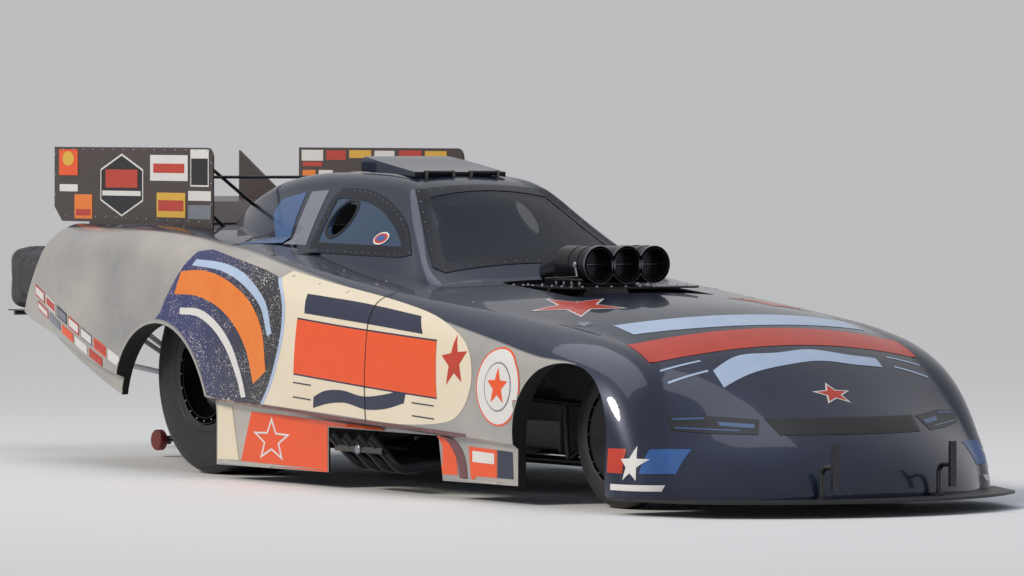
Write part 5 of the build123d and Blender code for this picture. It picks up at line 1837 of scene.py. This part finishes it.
@dataclass
class DriverSeat:
    """Two sewn pads in the carbon seat, with the shoulder and lap belts laid over them."""

    frame: dict
    ease: float = 0.028
    rise: float = 0.024
    cells: int = 44

    def pad(
        self, name: str, seat: Skin, view: View, low: Point2, high: Point2, channels: int
    ) -> bpy.types.Object:
        """A crowned pad with sewn channels, resting on the seat.

        Args:
            name: the pad's name.
            seat: the seat's surface.
            view: the direction from which the pad lies on the seat.
            low: its lowest corner in the view.
            high: its highest corner in the view.
            channels: the number of sewn channels across it.

        Returns:
            The pad.
        """
        out = seat.outward(view, Side.LEFT)
        mesh = bmesh.new()
        bmesh.ops.create_grid(mesh, x_segments=self.cells, y_segments=self.cells, size=0.5)
        feet = {}
        for vert in mesh.verts:
            share = (vert.co.x + 0.5, vert.co.y + 0.5)
            place = tuple(low[k] + (high[k] - low[k]) * share[k] for k in (0, 1))
            foot = seat.ray(view, *place)[0] + out * 0.001
            edge = min(min(place[k] - low[k], high[k] - place[k]) for k in (0, 1)) / self.ease
            crown = math.sqrt(1 - (1 - min(edge, 1)) ** 2)
            run = share[1] if view is View.NOSE else share[0]
            swell = 0.72 + 0.28 * abs(math.sin(math.pi * channels * run)) ** 0.6
            vert.co = foot + out * (0.002 + self.rise * crown * swell)
            feet[vert.index] = foot
        top = list(mesh.verts)
        spare = bmesh.ops.duplicate(mesh, geom=everything(mesh))
        for vert in top:
            spare["vert_map"][vert].co = feet[vert.index]
        bmesh.ops.bridge_loops(mesh, edges=[e for e in mesh.edges if e.is_boundary])
        bmesh.ops.recalc_face_normals(mesh, faces=mesh.faces)
        piece = finished(name, mesh, PAD_CLOTH, "chassis", 60)
        return piece

    def build(self) -> None:
        """Lays both pads and the belts."""
        seat = Skin([self.frame["nodes"]["driver_seat"]])
        back = self.pad("seat_back_pad", seat, View.NOSE, (-0.165, 0.51), (0.165, 0.92), 6)
        base = self.pad("seat_base_pad", seat, View.PLAN, (-0.53, -0.16), (-0.255, 0.16), 4)
        pads = Skin([back, base], lift=0.002, thickness=0.002, step=0.012)
        shoulder = [
            [(y - 0.024, 0.90), (y - 0.022, 0.55), (y + 0.022, 0.55), (y + 0.024, 0.90)]
            for y in (-0.08, 0.08)
        ]
        pads.lay("shoulder_belts", shoulder, HARNESS_WEB, View.NOSE, body="chassis")
        lap = [
            [(-0.50, s * 0.15), (-0.42, s * 0.02), (-0.375, s * 0.02), (-0.455, s * 0.15)]
            for s in (-1, 1)
        ]
        pads.lay("lap_belts", lap, HARNESS_WEB, View.PLAN, layer=1, body="chassis")
        spot = pads.ray(View.PLAN, -0.40, 0.0)[0]
        finished("belt_buckle", rod(spot, spot + UP * 0.014, 0.032, 24), BOLT_ZINC, "chassis", 40)


@dataclass
class ChutePacks:
    """The two parachute packs: cloth bags swelled by simulation, with their webbing."""

    inset: float = 0.012
    voxel: float = 0.009
    frames: int = 14
    pressure: float = 2.5
    cap: float = 0.012
    web: float = 0.0022

    def swell(self, bag: bpy.types.Object) -> None:
        """Swells a bag by cloth simulation, no further than the cap.

        Args:
            bag: the bag, as an eased box.
        """
        remesh = bag.modifiers.new("even", "REMESH")
        remesh.mode, remesh.voxel_size, remesh.use_smooth_shade = "VOXEL", self.voxel, True
        self.settle(bag)
        rest = [v.co.copy() for v in bag.data.vertices]
        cloth = bag.modifiers.new("swell", "CLOTH").settings
        cloth.use_pressure = True
        cloth.uniform_pressure_force = self.pressure
        cloth.quality = 5
        cloth.effector_weights.gravity = 0
        scene = bpy.context.scene
        for step in range(1, self.frames + 1):
            scene.frame_set(step)
        self.settle(bag)
        scene.frame_set(1)
        for vert, start in zip(bag.data.vertices, rest):
            move = vert.co - start
            if move.length > self.cap:
                vert.co = start + move.normalized() * self.cap
        for face in bag.data.polygons:
            face.use_smooth = True

    def bag(self, node: str) -> bpy.types.Object:
        """Makes the stuffed bag that stands for a CAD pack.

        Args:
            node: the CAD node.

        Returns:
            The bag, riding on the chassis.
        """
        low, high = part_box(node)
        margin = Vector((self.inset,) * 3)
        mesh = block(low + margin, high - margin, 0.05, 4)
        bag = finished(f"{node}_bag", mesh, PACK_CLOTH, "chassis", 180)
        self.swell(bag)
        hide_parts(node)
        return bag

    def settle(self, piece: bpy.types.Object) -> None:
        """Applies a piece's modifiers to its mesh.

        Args:
            piece: the object.
        """
        graph = bpy.context.evaluated_depsgraph_get()
        data = bpy.data.meshes.new_from_object(piece.evaluated_get(graph))
        piece.modifiers.clear()
        piece.data = data

    def belt(
        self, bag: bpy.types.Object, name: str, axis: int, at: float, width: float, finish: Finish
    ) -> None:
        """A webbing belt round the bag, cut from the bag's own surface.

        Args:
            bag: the bag.
            name: the belt's name.
            axis: the axis that the belt goes round.
            at: its place along that axis.
            width: the webbing's width.
            finish: its material.
        """
        mesh = bmesh.new()
        mesh.from_mesh(bag.data)
        for sign in (-1, 1):
            edge, away = Vector((0, 0, 0)), Vector((0, 0, 0))
            edge[axis], away[axis] = at + sign * width / 2, sign
            bmesh.ops.bisect_plane(
                mesh, geom=everything(mesh), plane_co=edge, plane_no=away, clear_outer=True
            )
        mesh.normal_update()
        for vert in mesh.verts:
            vert.co += vert.normal * 0.0008
        bmesh.ops.solidify(mesh, geom=list(mesh.faces), thickness=self.web)
        bmesh.ops.recalc_face_normals(mesh, faces=mesh.faces)
        finished(name, mesh, finish, "chassis", 50)

    def build(self) -> None:
        """Builds both bags with their belts."""
        for tag in ("right", "left"):
            node = f"chute_pack_{tag}"
            bag = self.bag(node)
            low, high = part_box(node)
            length = high.x - low.x
            self.belt(bag, f"pack_belt_front_{tag}", 0, low.x + length * 0.3, 0.045, STRAP_WEB)
            self.belt(bag, f"pack_belt_rear_{tag}", 0, low.x + length * 0.72, 0.045, STRAP_WEB)
            self.belt(bag, f"pack_belt_long_{tag}", 1, (low.y + high.y) / 2, 0.05, STRAP_WEB)
            self.belt(bag, f"pack_seam_{tag}", 0, low.x + length * 0.12, 0.012, TETHER_WRAP)


@dataclass
class Fasteners:
    """Quarter-turn buttons along the body's top and screws round the spoiler plates."""

    skin: Skin
    first_x: float = -2.25
    pitch: float = 0.35
    buttons: int = 12
    button_y: float = 0.735
    plate_y: float = 0.69

    def build(self) -> None:
        """Sets every row."""
        places = [round(self.first_x + self.pitch * k, 2) for k in range(self.buttons)]
        edge = along([(-2.485, 1.165), (-1.03, 1.145), (-1.03, 1.478), (-2.485, 1.478)], 0.095)
        for side in Side:
            tag, y = side.name.lower(), side.value * self.button_y
            tops = [self.skin.settle(View.PLAN, x, y, side) for x in places]
            rivets(f"body_buttons_{tag}", tops, 0.0055)
            heads = [self.skin.ray(View.FLANK, x, z, side) for x, z in edge]
            near = [h for h in heads if h and abs(abs(h[0].y) - self.plate_y) < 0.01]
            rivets(f"plate_screws_{tag}", near, 0.005)


def main() -> None:
    """Builds the scene."""
    logging.basicConfig(level=logging.INFO, format="%(message)s")
    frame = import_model()
    Studio().build()
    BodyShell(frame).build()
    Running(frame).build()
    outer = (
        "front_clip", "cabin_shell", "side_panel_right", "side_panel_left", "windscreen",
        "side_windows", "spoiler_plates",
    )
    skin = Skin([frame["nodes"][node] for node in outer])
    Livery(skin).build()
    Glazing(skin).build()
    Wheels().build()
    Induction().build()
    HeaderStrap().build()
    DriverSeat(frame).build()
    ChutePacks().build()
    Fasteners(skin).build()


if __name__ == "__main__":
    main()
